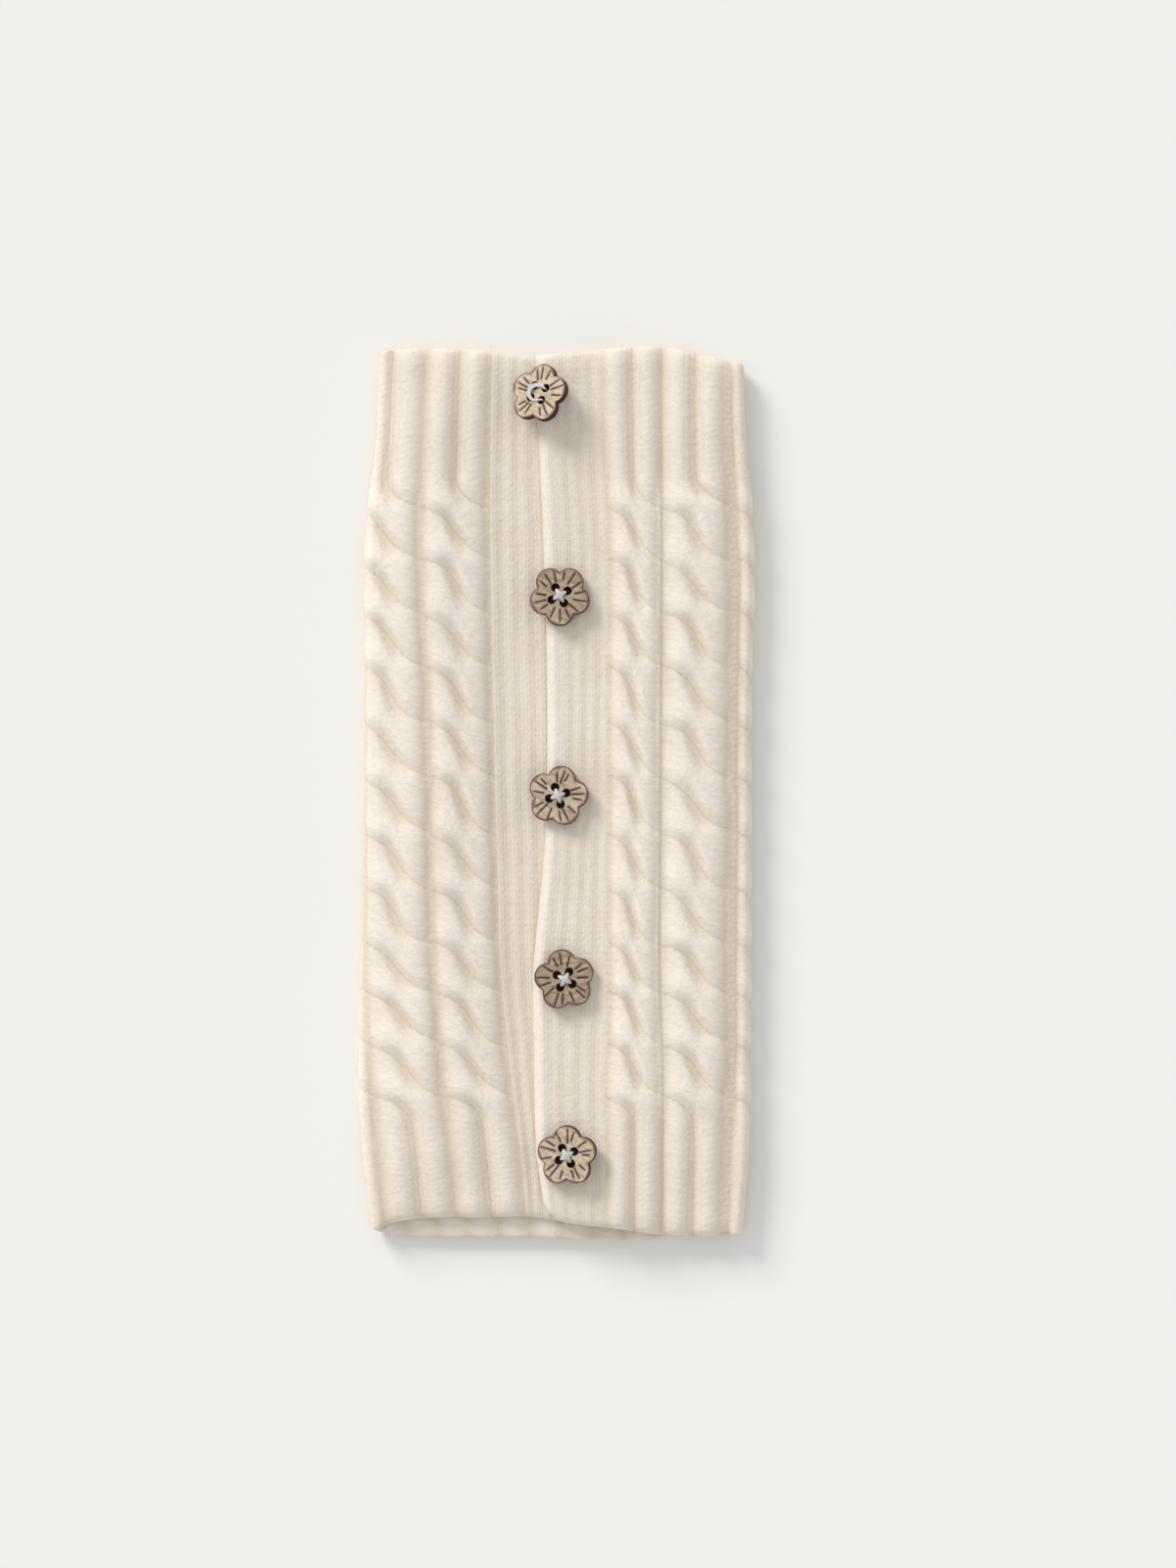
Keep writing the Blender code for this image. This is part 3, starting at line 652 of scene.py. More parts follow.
@dataclass
class CablePanel:
    """The knitted panel: cables and ribbed cuffs, from the under band's seam all the way round.

    Attributes:
        garment: The garment's sizes and lines.
        cable: Its cable.
        row_step: Distance between the fine grid's rows.
        steps: Steps of the fine grid across one of the front's cables.
        wave: Length of the strands' unevenness.
        seam_lip: The rounded edge at each band's seam.
        seam_overlap: How far the edge reaches into the seam.
        round_cables: Cables between the two outermost grooves, all the way round the back.
        pressed: Share of a fold's half turn in which its cables come to lie pressed flat.
        groove: Depth of the shallow grooves on the underside.
        groove_fade: How far from a hem they reach that depth.
        at_fold: Size of the outward direction's X from which the hem's roll is a fold's.
        first_width: Width of the cable that lies along the left fold.
        purl_strip: Extra width of the plain strip that shows beside the right fold.
        fill: How much shallower the groove is between the two right cables.
        fill_reach: How far from that groove it rises.
    """

    garment: Garment
    cable: Cable
    row_step: float = 0.9
    steps: int = 34
    wave: float = 31.0
    seam_lip: Lip = Lip(1.9, (-90, -45, 0, 30, 60, 90), 0.85, (2.0,))
    seam_overlap: float = 1.1
    round_cables: int = 8
    pressed: float = 0.75
    groove: float = 0.7
    groove_fade: float = 14.0
    at_fold: float = 0.7
    first_width: float = 24.5
    purl_strip: float = 2.6
    fill: float = 0.8
    fill_reach: float = 2.5

    def path_length(self, y: np.ndarray) -> tuple[np.ndarray, np.ndarray, np.ndarray]:
        """Measures the way round from groove to groove.

        Args:
            y: Heights.

        Returns:
            Lengths of the left flat stretch with its fold, of the back, and of the right fold with
            its flat stretch.
        """
        g = self.garment
        radius = g.half_gap(y) + g.back
        left = g.line("groove_ab", y) - g.line("left", y) - radius + math.pi * radius
        right = g.line("right", y) - radius - g.line("groove_de", y) + math.pi * radius
        return left, g.line("right", y) - g.line("left", y) - 2 * radius, right

    def round_the_back(self, y: np.ndarray, share: np.ndarray) -> Cloth:
        """The stretch from groove AB round the left fold, the back and the right fold to groove DE.

        The way is flat to a fold, then half round it with the angle as the distance over the fold's
        radius, then flat across the back. The wall's thickness goes over from the front's full
        relief to the back's pressed one with the fold's angle.

        Args:
            y: A column of heights.
            share: Shares of the whole way, as a row.

        Returns:
            The stretch.
        """
        g = self.garment
        gap = g.half_gap(y)
        radius = gap + g.back
        left, across, right = self.path_length(y)
        whole = left + across + right
        far = whole * share
        on_left = far < left + 0.5 * across
        turn_left = np.clip((far - left) / radius + math.pi, 0, math.pi)
        turn_right = np.clip((whole - right - far) / radius + math.pi, 0, math.pi)
        turn = np.where(on_left, turn_left, turn_right)
        side = np.where(on_left, Side.LEFT.value, Side.RIGHT.value)
        centre = np.where(on_left, g.line("left", y) + radius, g.line("right", y) - radius)
        from_fold = np.where(on_left, far - left, whole - right - far)
        flat = np.clip(-from_fold - math.pi * radius, 0, None)
        x = centre - side * (flat + np.clip(from_fold, 0, None)) + side * gap * np.sin(turn)
        z = g.back + gap + gap * np.cos(turn) + g.swell(x, y) * (turn == 0)
        first, others = self.first_width / whole, self.round_cables - 1
        place = np.where(share < first, share / first, 1 + others * (share - first) / (1 - first))
        number = np.floor(np.minimum(place, self.round_cables - 1e-6))
        u = (0.5 - (place - number)) * self.cable.pitch
        strip = self.purl_strip * (number == others)
        u = u - strip * (0.5 - u / self.cable.pitch)
        rope = self.cable.measure(u + 0 * y, y, wander(far, y, self.wave, 0.7), 0.0)
        press = smooth(turn / (self.pressed * math.pi))
        groove = self.groove * smooth((g.hem - np.abs(y)) / self.groove_fade)
        pressed = g.back - groove * (1 - np.clip(rope.height / self.cable.height, 0, 1))
        thick = blend(g.wall + rope.height, pressed, press)
        inner = xyz(x, g.to_hems(x, y, turn / math.pi), z)
        out = xyz(side * np.sin(turn), 0, np.cos(turn))
        purl = smooth((-u - self.cable.reach) / 0.8) * (strip > 0)
        return self.knitted(inner, out, thick, rope, purl + 0 * y)

    def knitted(
        self, inner: np.ndarray, out: np.ndarray, thick: np.ndarray, rope: Rope, purl: np.ndarray
    ) -> Cloth:
        """Puts a stretch together.

        Args:
            inner: Points of its inner face.
            out: Directions from its inner face to its outer one.
            thick: Its thickness.
            rope: Its cables' measures.
            purl: 1 where it shows its purl side.

        Returns:
            The stretch, whose body goes from 0 on the ground to 1 on a strand's back.
        """
        floor, height = self.cable.floor, self.cable.height
        body = np.clip((rope.height - floor) / (height - floor), 0, 1)
        return Cloth(inner, out, thick, rope.column, body, purl)

    def front(self, y: np.ndarray, x: np.ndarray, low: str, high: str, lift: np.ndarray) -> Cloth:
        """One cable's width of the front layer.

        Args:
            y: A column of heights.
            x: The grid's distances across.
            low: The line along the cable's left.
            high: The line along its right.
            lift: How far the layer rises.

        Returns:
            The stretch.
        """
        g = self.garment
        start, end = g.line(low, y), g.line(high, y)
        u = ((x - start) / (end - start) - 0.5) * self.cable.pitch
        fill = self.fill * np.exp(-(((x - g.line("groove_cd", y)) / self.fill_reach) ** 2))
        rope = self.cable.measure(u, y, wander(x, y, self.wave, len(low)), fill)
        inner = xyz(x, g.to_hems(x, y, 0), g.front_floor(y) + lift + g.swell(x, y))
        return self.knitted(inner, xyz(0 * x, 0, 1), g.wall + rope.height, rope, 0 * x)

    def grid(self, y: np.ndarray) -> Cloth:
        """All of the panel's stretches, joined from the under band's seam to the button band's.

        Args:
            y: A column of heights.

        Returns:
            The joined grid.
        """
        g = self.garment
        inward, shares = self.seam_lip.path()
        under = g.line("under_seam", y) + self.seam_overlap
        over = g.line("over_seam", y) - self.seam_overlap
        grooves = "groove_ab", "groove_cd", "groove_de"
        left_groove, middle, right_groove = (g.line(name, y) for name in grooves)
        run = np.linspace(0, 1, self.steps + 1)[None, 1:]
        first_x = under - inward[None, :]
        last_x = (over + inward[None, :])[:, ::-1]
        x_b = np.concatenate([first_x, blend(first_x[:, -1:], left_groove, run)], axis=1)
        x_d = blend(right_groove, middle, run)
        x_c = np.concatenate([blend(middle, last_x[:, :1], run[:, :-1]), last_x], axis=1)
        lift = g.over_lift * (1 - smooth((x_c - g.line("over_seam", y)) / g.lift_reach))
        parts = [
            self.front(y, x_b, "groove_ab", "under_seam", 0 * x_b),
            self.round_the_back(y, self.round_shares()),
            self.front(y, x_d, "groove_cd", "groove_de", 0 * x_d),
            self.front(y, x_c, "over_seam", "groove_cd", lift),
        ]
        parts[0].thick[:, : len(shares)] *= shares[None, :]
        parts[-1].thick[:, -len(shares) :] *= shares[None, ::-1]
        return Cloth.beside(parts)

    def round_shares(self) -> np.ndarray:
        """Shares of the way round, close together on the front and the folds, wider on the back."""
        ends, counts = (0.0, 0.215, 0.87, 1.0), (60, 60, 36)
        spans = zip(ends[:-1], ends[1:], counts)
        runs = [np.linspace(start, end, count + 1)[1:] for start, end, count in spans]
        return np.concatenate(runs)[None, :]

    def build(self, finish: bpy.types.Material) -> tuple[bpy.types.Object, Cloth]:
        """Makes the panel.

        Args:
            finish: The wool.

        Returns:
            The piece, and its fine grid for the fuzz that grows on it.
        """
        g = self.garment
        y, shares = g.rows(self.row_step, g.hem_lip)
        fold_shares = g.rows(self.row_step, g.fold_lip)[1]
        cloth = self.grid(y)
        cloth.thick *= blend(shares, fold_shares, smooth(np.abs(cloth.out[..., 0]) / self.at_fold))
        made = Maker.piece(Maker.wall("panel_knit", cloth, y), finish, "wool")
        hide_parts("cable_panel")
        left, across, right = (float(np.mean(part)) for part in self.path_length(y))
        return made, cloth


@dataclass
class RibBand:
    """A band of fine rib along the opening, with one free edge.

    Attributes:
        garment: The garment's sizes and lines.
        name: The piece's name.
        node: The solid that it replaces.
        start: Name of the line along its left edge, and how far right of it the band starts.
        end: Name of the line along its right edge, and how far right of it the band ends.
        wall: Thickness of the band.
        lift: How high it lies above the front layer's inner face.
        free: The side on which its edge is free and rolls over.
        shoulder: How much thicker it is at its seam, to meet the panel's groove.
        corner: Radius of its lower corner at the free edge.
        shoulder_reach: How far from the seam it is thicker.
        rib_pitch: From one rib to the next.
        rib: Height of the ribs.
        roll: How much thicker the free edge is.
        row_step: Distance between the fine grid's rows.
        column_step: Distance between its columns.
        free_lip: The rounded free edge.
        seam_lip: The rounded edge at its seam.
    """

    garment: Garment
    name: str
    node: str
    start: tuple[str, float]
    end: tuple[str, float]
    wall: float
    lift: float
    free: Side
    shoulder: float
    corner: float = 0.0
    shoulder_reach: float = 3.2
    rib_pitch: float = 4.8
    rib: float = 0.25
    roll: float = 0.4
    row_step: float = 0.9
    column_step: float = 0.6
    free_lip: Lip = Lip(3.3, (-90, -60, -30, 0, 20, 40, 60, 75, 90), 0.32, (1.5,))
    seam_lip: Lip = Lip(1.9, (-90, -45, 0, 30, 60, 90), 0.85, (1.5,))

    def grid(self, y: np.ndarray) -> Cloth:
        """The band's wall over a grid.

        A rib is a raised cosine across the band. The free edge is thicker by a round swelling over
        its roll, and the seam's edge by a bell curve.

        Args:
            y: A column of heights.

        Returns:
            The grid, whose columns run leftwards as the panel's do on the front.
        """
        g = self.garment
        left = g.line(self.start[0], y) + self.start[1]
        right = g.line(self.end[0], y) + self.end[1]
        lips = [self.free_lip, self.seam_lip]
        if self.free is Side.RIGHT:
            lips.reverse()
        (in_left, share_left), (in_right, share_right) = (lip.path() for lip in lips)
        width = float(np.mean(right - left))
        count = int(width / self.column_step)
        run = np.linspace(0, 1, count + 1)[None, 1:-1]
        low, high = left + in_left[None, :], right - in_right[None, ::-1]
        x = np.concatenate([low, blend(low[:, -1:], high[:, :1], run), high], axis=1)[:, ::-1]
        shares = np.concatenate([share_left, np.ones(count - 1), share_right[::-1]])[None, ::-1]
        ribs = max(1, round(width / self.rib_pitch))
        across = (x - left) / (right - left) * ribs + 0.05 * wander(x, y, 43.0)
        rib = 0.5 - 0.5 * np.cos(2 * math.pi * across)
        from_free = x - left if self.free is Side.LEFT else right - x
        swell = np.clip(1 - (from_free / self.free_lip.reach - 0.9) ** 2, 0, None) * self.roll
        inner_y = self.round_corner(g.to_hems(x, y, 0), from_free, y)
        inner = xyz(x, inner_y, g.front_floor(y) + self.lift)
        from_seam = right - left - from_free
        shoulder = self.shoulder * np.exp(-((from_seam / self.shoulder_reach) ** 2))
        thick = (self.wall + self.rib * rib + swell + shoulder) * shares
        # The share that the wool's colour reads: lighter on the ribs as painted shade between them,
        # a random tone, and a painted highlight along the rolled free edge.
        body = 0.26 + 0.12 * rib + 0.1 * wander(x, y, 17.0) + 0.5 * swell / self.roll
        return Cloth(inner, xyz(0 * x, 0, 1), thick, across * 2.0, body, 0 * x)

    def round_corner(self, y_on: np.ndarray, from_free: np.ndarray, y: np.ndarray) -> np.ndarray:
        """Draws the lower hem up along a quarter circle towards the free edge.

        Args:
            y_on: The grid's heights.
            from_free: Distance of each point from the free edge.
            y: The column of nominal heights, which tells how near the hem each row is.

        Returns:
            The heights with the corner rounded.
        """
        if not self.corner:
            return y_on
        near = np.clip(from_free, 0, self.corner)
        rise = self.corner - np.sqrt(self.corner**2 - (self.corner - near) ** 2)
        fade = np.clip(1 - (y + self.garment.hem) / (3 * self.corner), 0, 1)
        return y_on + rise * fade

    def build(self, finish: bpy.types.Material) -> tuple[bpy.types.Object, Cloth]:
        """Makes the band.

        Args:
            finish: The wool.

        Returns:
            The piece, and its fine grid.
        """
        g = self.garment
        y, shares = g.rows(self.row_step, g.hem_lip)
        cloth = self.grid(y)
        cloth.thick *= shares
        made = Maker.piece(Maker.wall(self.name, cloth, y), finish, "wool")
        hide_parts(self.node)
        return made, cloth


@dataclass(frozen=True)
class Seat:
    """Where a button sits.

    Attributes:
        place: Its centre.
        turn: Its lean, as a matrix of three rows.
        shank: Length of the thread wraps under it.
    """

    place: np.ndarray
    turn: np.ndarray
    shank: float

    def put(self, points: np.ndarray) -> np.ndarray:
        """Moves points from the button's own frame to the garment's."""
        return points @ self.turn.T + self.place


@dataclass
class FlowerButton:
    """A flower sawn from thin wood, with five petals, four holes and lines burnt into its face.

    Attributes:
        garment: The garment that it is sewn to.
        number: Its number from the top.
        row: Its row of the table of buttons.
        knit_height: Height of the button band's top above the front layer's inner face.
        under_height: The same for the under band's top.
        thick: Thickness of the wood.
        petals: How many petals it has.
        petal_out: From the button's centre to a petal's.
        petal_radius: Radius of a petal.
        hole_out: From the button's centre to a hole's.
        hole: Radius of a hole.
        hole_rings: From the centre to the last of the circular rings, which hold the holes.
        pit_floor: Thickness of wood under a hole's pit.
        bevel: Width of the eased edge.
        engraved: Depth of the burnt lines.
        line_start: From the centre to where a petal's middle line starts.
        line_end: From the centre to where it ends.
        line_width: Half the width of a line.
        line_aside: Angle between a petal's lines, in radians.
        clear: Least gap between the wood and the knit.
        shank_radius: Radius of the wraps of thread under it.
        least_shank: Length of the wraps where the button lies flat.
    """

    garment: Garment
    number: int
    row: np.void
    knit_height: float
    under_height: float
    thick: float = 2.6
    petals: int = 5
    petal_out: float = 5.5
    petal_radius: float = 4.8
    hole_out: float = 3.05
    hole: float = 1.22
    hole_rings: float = 4.7
    pit_floor: float = 0.4
    bevel: float = 0.35
    engraved: float = 0.22
    line_start: float = 4.1
    line_end: float = 9.9
    line_width: float = 0.43
    line_aside: float = 0.34
    clear: float = 0.12
    shank_radius: float = 3.2
    least_shank: float = 0.45

    def outline(self, angle: np.ndarray) -> np.ndarray:
        """Distance from the centre to the edge.

        It is where a ray meets the nearest petal's circle: the part of the petal's distance along
        the ray, and half the chord that the circle cuts from the ray.

        Args:
            angle: Directions from the centre, in radians.

        Returns:
            The distances.
        """
        part = 2 * math.pi / self.petals
        off = (angle - math.radians(self.row["petal_turn"]) + part / 2) % part - part / 2
        chord = np.sqrt(self.petal_radius**2 - (self.petal_out * np.sin(off)) ** 2)
        return self.petal_out * np.cos(off) + chord

    def holes(self) -> np.ndarray:
        """Centres of the four holes, as rows of x and y."""
        angle = math.radians(self.row["hole_turn"]) + np.arange(4) * math.pi / 2
        return self.hole_out * np.stack([np.cos(angle), np.sin(angle)], axis=-1)

    def lines(self, r: np.ndarray, angle: np.ndarray) -> np.ndarray:
        """How deep the burnt lines go, from 0 to 1.

        Each petal has a long line along its middle and a shorter one to each side. A line fades
        with the square of the distance from its middle, and towards its two ends.

        Args:
            r: Distances from the centre.
            angle: Directions from the centre.

        Returns:
            The depth of the lines.
        """
        k = np.arange(3 * self.petals, dtype=float)[:, None, None]
        petal, aside = np.floor(k / 3), k % 3 - 1
        jitter = np.sin(k * 12.9898 + 7.31 * self.number)
        jitter_2 = np.sin(k * 4.137 + 2.7 * self.number)
        middle = math.radians(self.row["petal_turn"]) + petal * 2 * math.pi / self.petals
        at = middle + aside * (self.line_aside + 0.05 * jitter) + 0.06 * jitter_2
        start = self.line_start + 0.3 * np.abs(aside) + 0.5 * jitter_2
        end = self.line_end - 0.8 * np.abs(aside) + 0.4 * jitter
        away = angle - at - 0.012 * jitter * (r - 5)
        width = self.line_width - 0.018 * (r - 4)
        depth = np.exp(-((r * np.sin(away) / width) ** 2)) * (np.cos(away) > 0)
        return (depth * smooth((r - start) / 0.7) * smooth((end - r) / 1.2)).max(axis=0)

    def build_wood(self, seat: Seat, finish: bpy.types.Material) -> bpy.types.Object:
        """Makes the wooden flower.

        It is a fan of rays from the centre. Rings of equal distance hold the holes, rings of an
        equal share of the outline hold the petals, and the edge goes over a quarter-round, down
        the side and under. A hole is a straight pit, and the burnt lines are shallow grooves.

        Args:
            seat: Where the button sits.
            finish: The wood.

        Returns:
            The button.
        """
        angle = np.linspace(0, 2 * math.pi, 240, endpoint=False)[None, :]
        out = self.outline(angle)
        top, foot = 0.5 * self.thick, -0.5 * self.thick
        core = self.hole_rings
        circles = np.linspace(0.3, core, 35)[:, None] + 0 * angle
        outer = core + (out - self.bevel - core) * np.linspace(0, 1, 20)[1:, None]
        r_face = np.concatenate([circles, outer])
        round_off = np.radians([35.0, 65.0, 90.0])[:, None]
        r_edge = out - self.bevel * (1 - np.sin(round_off))
        z_edge = top - self.bevel * (1 - np.cos(round_off)) + 0 * angle
        z_side = np.linspace(top - self.bevel, foot + self.bevel, 5)[1:-1, None] + 0 * angle
        shares = np.array([0.8, 0.5, 0.2])[:, None]
        r = np.concatenate([r_face, r_edge, out + 0 * z_side, r_edge[::-1], out * shares])
        z_foot = foot + 0 * out * shares
        z = np.concatenate([top + 0 * r_face, z_edge, z_side, -z_edge[::-1], z_foot])
        points = xyz(r * np.cos(angle), r * np.sin(angle), z)
        on_face = (z > 0.0) & (r < out - 0.5 * self.bevel)
        holes = self.holes()[:, None, None, :]
        from_hole = np.linalg.norm(points[None, ..., :2] - holes, axis=-1).min(axis=0)
        marks = self.lines(r, angle) * smooth((from_hole - self.hole - 0.2) / 0.3)
        pit = (self.thick - self.pit_floor) * smooth((self.hole + 0.05 - from_hole) / 0.12)
        lip = 0.12 * smooth((self.hole + 0.4 - from_hole) / 0.35)
        points[..., 2] -= (pit + lip + self.engraved * marks) * on_face
        ragged = np.sin(angle * 7 + self.number) + 0.6 * np.sin(angle * 13 + 2.3 * self.number)
        rim = smooth((r - out + 1.1 + 0.3 * ragged) / 0.8)
        scorch = smooth((self.hole + 0.45 - from_hole) / 0.35)
        burn = np.where(on_face, np.maximum(0.9 * marks, scorch), 1.0)
        grain = math.radians(self.row["hole_turn"] + 37.0)
        across = points[..., 0] * math.cos(grain) + points[..., 1] * math.sin(grain)
        along = points[..., 1] * math.cos(grain) - points[..., 0] * math.sin(grain)
        wood_at = xyz(burn, across + 30 * self.number, along)
        at = np.arange(r.size).reshape(r.shape)
        after = np.roll(at, -1, axis=1)
        cap, base = xyz(at.size, at[0], after[0]), xyz(at.size + 1, after[-1], at[-1])
        ends = np.array([(0, 0, top), (0, 0, foot)])
        whole = seat.put(np.concatenate([points.reshape(-1, 3), ends]))
        faces = [ring_faces(at), np.concatenate([cap, base])]
        mesh = Maker.mesh(f"flower_{self.number}", whole, faces)
        wood_at = np.concatenate([wood_at.reshape(-1, 3), [(0, 0, 0), (1, 0, 0)]])
        Maker.mark(mesh, "wood_at", wood_at)
        tone = np.zeros((len(whole), 3))
        tone[:, 0] = self.row["tone"]
        tone[: rim.size, 1] = rim.ravel()
        Maker.mark(mesh, "wood_tone", tone)
        made = Maker.piece(mesh, finish, "wood")
        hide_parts(f"button_{self.number}")
        return made

    def seat(self) -> Seat:
        """Sets the button down on the knit.

        It leans about a level axis and comes down until a petal's foot, or the rim of its shank,
        is the clear gap from the knit.

        Returns:
            The button's seat.
        """
        row, g = self.row, self.garment
        lean, lifted = math.radians(row["lean"]), math.radians(row["lifted_side"])
        axis = Vector((math.sin(lifted), -math.cos(lifted), 0))
        turn = np.array(Matrix.Rotation(lean, 3, axis))
        angle = np.linspace(0, 2 * math.pi, 60, endpoint=False)
        foot = -0.5 * self.thick
        petals = self.outline(angle)
        edge = xyz(petals * np.cos(angle), petals * np.sin(angle), foot)
        rim = self.shank_radius * xyz(np.cos(angle), np.sin(angle), 0)
        rim[:, 2] = foot - self.clear - self.least_shank
        low = np.concatenate([edge, rim]) @ turn.T
        x, y = row["x"] + low[:, 0], row["y"] + low[:, 1]
        band = np.where(x > g.line("band_edge", y), self.knit_height, self.under_height)
        knit = g.front_floor(y) + band
        height = float(np.max(knit - low[:, 2])) + self.clear
        spare = float(np.min((height + low[:, 2] - knit)[len(edge) :]))
        place = np.array([row["x"], row["y"], height])
        return Seat(place, turn, self.least_shank + max(0.0, spare) / math.cos(lean))

    def build(self, wood: bpy.types.Material, thread: bpy.types.Material) -> list[bpy.types.Object]:
        """Makes the button and its sewing.

        Args:
            wood: The flower's finish.
            thread: The thread's finish.

        Returns:
            The wooden flower and its thread.
        """
        seat, loop = self.seat(), bool(self.row["loop_stitch"])
        sewing = Sewing(self.number, self.holes(), 0.5 * self.thick, self.shank_radius)
        return [self.build_wood(seat, wood), sewing.build(seat, loop, thread)]


@dataclass
class Sewing:
    """The thread of one button: stitches over its face, and wraps round the stitches below it.

    Attributes:
        number: The button's number.
        holes: Centres of its four holes.
        top: Height of its face above its middle.
        shank_radius: Radius of the wraps.
        ply: Radius of one of a thread's three plies.
        twist: From the thread's middle to a ply's.
        lay: Length in which the plies go once round.
    """

    number: int
    holes: np.ndarray
    top: float
    shank_radius: float
    ply: float = 0.17
    twist: float = 0.17
    lay: float = 1.9

    def cross_paths(self) -> list[np.ndarray]:
        """Middles of three threads each way between opposite holes.

        Along a stitch's length the threads spread apart from the holes towards the middle, and
        the second stitch lies over the first.

        Returns:
            The paths, each as rows of x, y and z.
        """
        paths = []
        knots = np.array([0.0, 0.14, 0.26, 0.37, 0.5, 0.63, 0.74, 0.86, 1.0])
        reach = np.array([-2.3, -2.3, -2.1, -1.2, 0.0, 1.2, 2.1, 2.3, 2.3])
        rise = np.array([-2.2, -0.9, -0.1, 0.5, 0.7, 0.5, -0.1, -0.9, -2.2])
        run = np.linspace(0, 1, 44)
        for pair in (0, 1):
            way = unit(self.holes[pair])
            side = np.array([-way[1], way[0]])
            for strand in (-1, 0, 1):
                spread = strand * 0.5 * np.sin(math.pi * run) ** 4 + 0.06 * strand
                along = curve_through(knots, reach, run)
                lift = (0.42 * pair + 0.16 * (strand == 0)) * np.sin(math.pi * run) ** 3
                flat = along[:, None] * way + spread[:, None] * side
                height = self.top + curve_through(knots, rise, run) + lift
                paths.append(np.column_stack([flat, height]))
        return paths

    def loop_paths(self) -> list[np.ndarray]:
        """Middles of the slack loop that leaves the right hole, swings out to the left and goes
        down the lowest one, and of a short stitch under it."""
        first, last = self.holes[0] * 0.9, self.holes[3] * 0.93
        route = np.array(
            [
                (*first, -2.2), (*first, -0.4), (first[0] - 0.3, first[1] + 0.3, 0.35),
                (1.4, 2.2, 0.75), (-0.2, 2.5, 0.9), (-1.7, 2.1, 1.0), (-2.7, 1.0, 1.0),
                (-2.9, -0.6, 0.95), (-2.3, -1.9, 0.8), (-1.1, -2.7, 0.5),
                (*last, -0.3), (*last, -2.2),
            ]
        )
        route[:, 2] += self.top
        knots, run = np.linspace(0, 1, len(route)), np.linspace(0, 1, 64)
        middle = np.column_stack([curve_through(knots, values, run) for values in route.T])
        outward = unit(middle[:, :2])
        paths = []
        for strand in (-1, 0, 1):
            bulge = np.sin(math.pi * run)[:, None] ** 2 * strand * 0.5
            lift = 0.12 * (strand == 0) * np.sin(math.pi * run)
            paths.append(np.column_stack([middle[:, :2] + outward * bulge, middle[:, 2] + lift]))
        return paths

    def plies(self, path: np.ndarray) -> tuple[np.ndarray, np.ndarray]:
        """Twists three plies round a thread's middle.

        A ply's centre goes round the path on a small circle, a turn in each lay, and its wall is a
        circle about that centre. Both circles stand square to the path: one of their axes points
        away from a place under the button's middle, less what lies along the path.

        Args:
            path: The thread's middle, as rows of x, y and z.

        Returns:
            The points of the three tubes, and their faces' corner numbers.
        """
        along = unit(np.gradient(path, axis=0))
        away = square_to(path - np.array([0.0, 0.0, self.top - 2.0]), along)
        beside = np.cross(along, away)
        length = np.concatenate([[0], np.cumsum(np.linalg.norm(np.diff(path, axis=0), axis=1))])
        turn = 2 * math.pi * (length[None, :] / self.lay + np.arange(3)[:, None] / 3)
        circle = np.linspace(0, 2 * math.pi, 6, endpoint=False)
        swing = np.cos(turn)[..., None] * away + np.sin(turn)[..., None] * beside
        wall = np.cos(circle)[:, None, None] * away + np.sin(circle)[:, None, None] * beside
        middle = path[None, :, None, :] + self.twist * swing[:, :, None, :]
        points = middle + self.ply * wall.transpose(1, 0, 2)[None]
        at = np.arange(points.size // 3).reshape(points.shape[:3])
        quads = ring_faces(at)[:, [0, 3, 2, 1]]
        caps = [at[:, 0, k] for k in (0, 5, 4, 3)], [at[:, 0, k] for k in (0, 3, 2, 1)]
        tips = [at[:, -1, k] for k in (0, 1, 2, 3)], [at[:, -1, k] for k in (0, 3, 4, 5)]
        ends = np.concatenate([np.stack(corners, axis=-1) for corners in (*caps, *tips)])
        return points.reshape(-1, 3), np.concatenate([quads, ends])

    def shank(self, length: float) -> tuple[np.ndarray, np.ndarray]:
        """The wraps below the button.

        A post whose radius swells with the size of a sine that climbs one wrap in each turn.

        Args:
            length: The post's length.

        Returns:
            The points, and the faces' corner numbers.
        """
        angle = np.linspace(0, 2 * math.pi, 40, endpoint=False)[None, :]
        down = np.linspace(0, 1, 15)[:, None]
        wraps = max(2, round(length / 0.5))
        ridge = np.abs(np.sin(math.pi * (down * wraps + angle / (2 * math.pi))))
        radius = self.shank_radius * (1 - 0.12 * down) - 0.2 + 0.2 * ridge
        radius = np.concatenate([0.02 + 0 * angle, radius, 0.02 + 0 * angle])
        down = np.concatenate([down[:1], down, down[-1:]])
        z = -self.top - 0.1 - length * down
        points = xyz(radius * np.cos(angle), radius * np.sin(angle), z)
        return points.reshape(-1, 3), ring_faces(np.arange(radius.size).reshape(radius.shape))

    def build(self, seat: Seat, loop: bool, finish: bpy.types.Material) -> bpy.types.Object:
        """Makes the thread.

        Args:
            seat: Where the button sits.
            loop: Whether the stitches are one slack loop, or a cross.
            finish: The thread's finish.

        Returns:
            The thread.
        """
        paths = self.loop_paths() if loop else self.cross_paths()
        parts = [self.plies(path) for path in paths] + [self.shank(seat.shank)]
        starts = np.cumsum([0] + [len(points) for points, _ in parts[:-1]])
        points = np.concatenate([points for points, _ in parts])
        faces = [corners + start for (_, corners), start in zip(parts, starts)]
        mesh = Maker.mesh(f"sewing_{self.number}", seat.put(points), faces)
        made = Maker.piece(mesh, finish, "thread")
        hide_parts(f"thread_{self.number}")
        return made


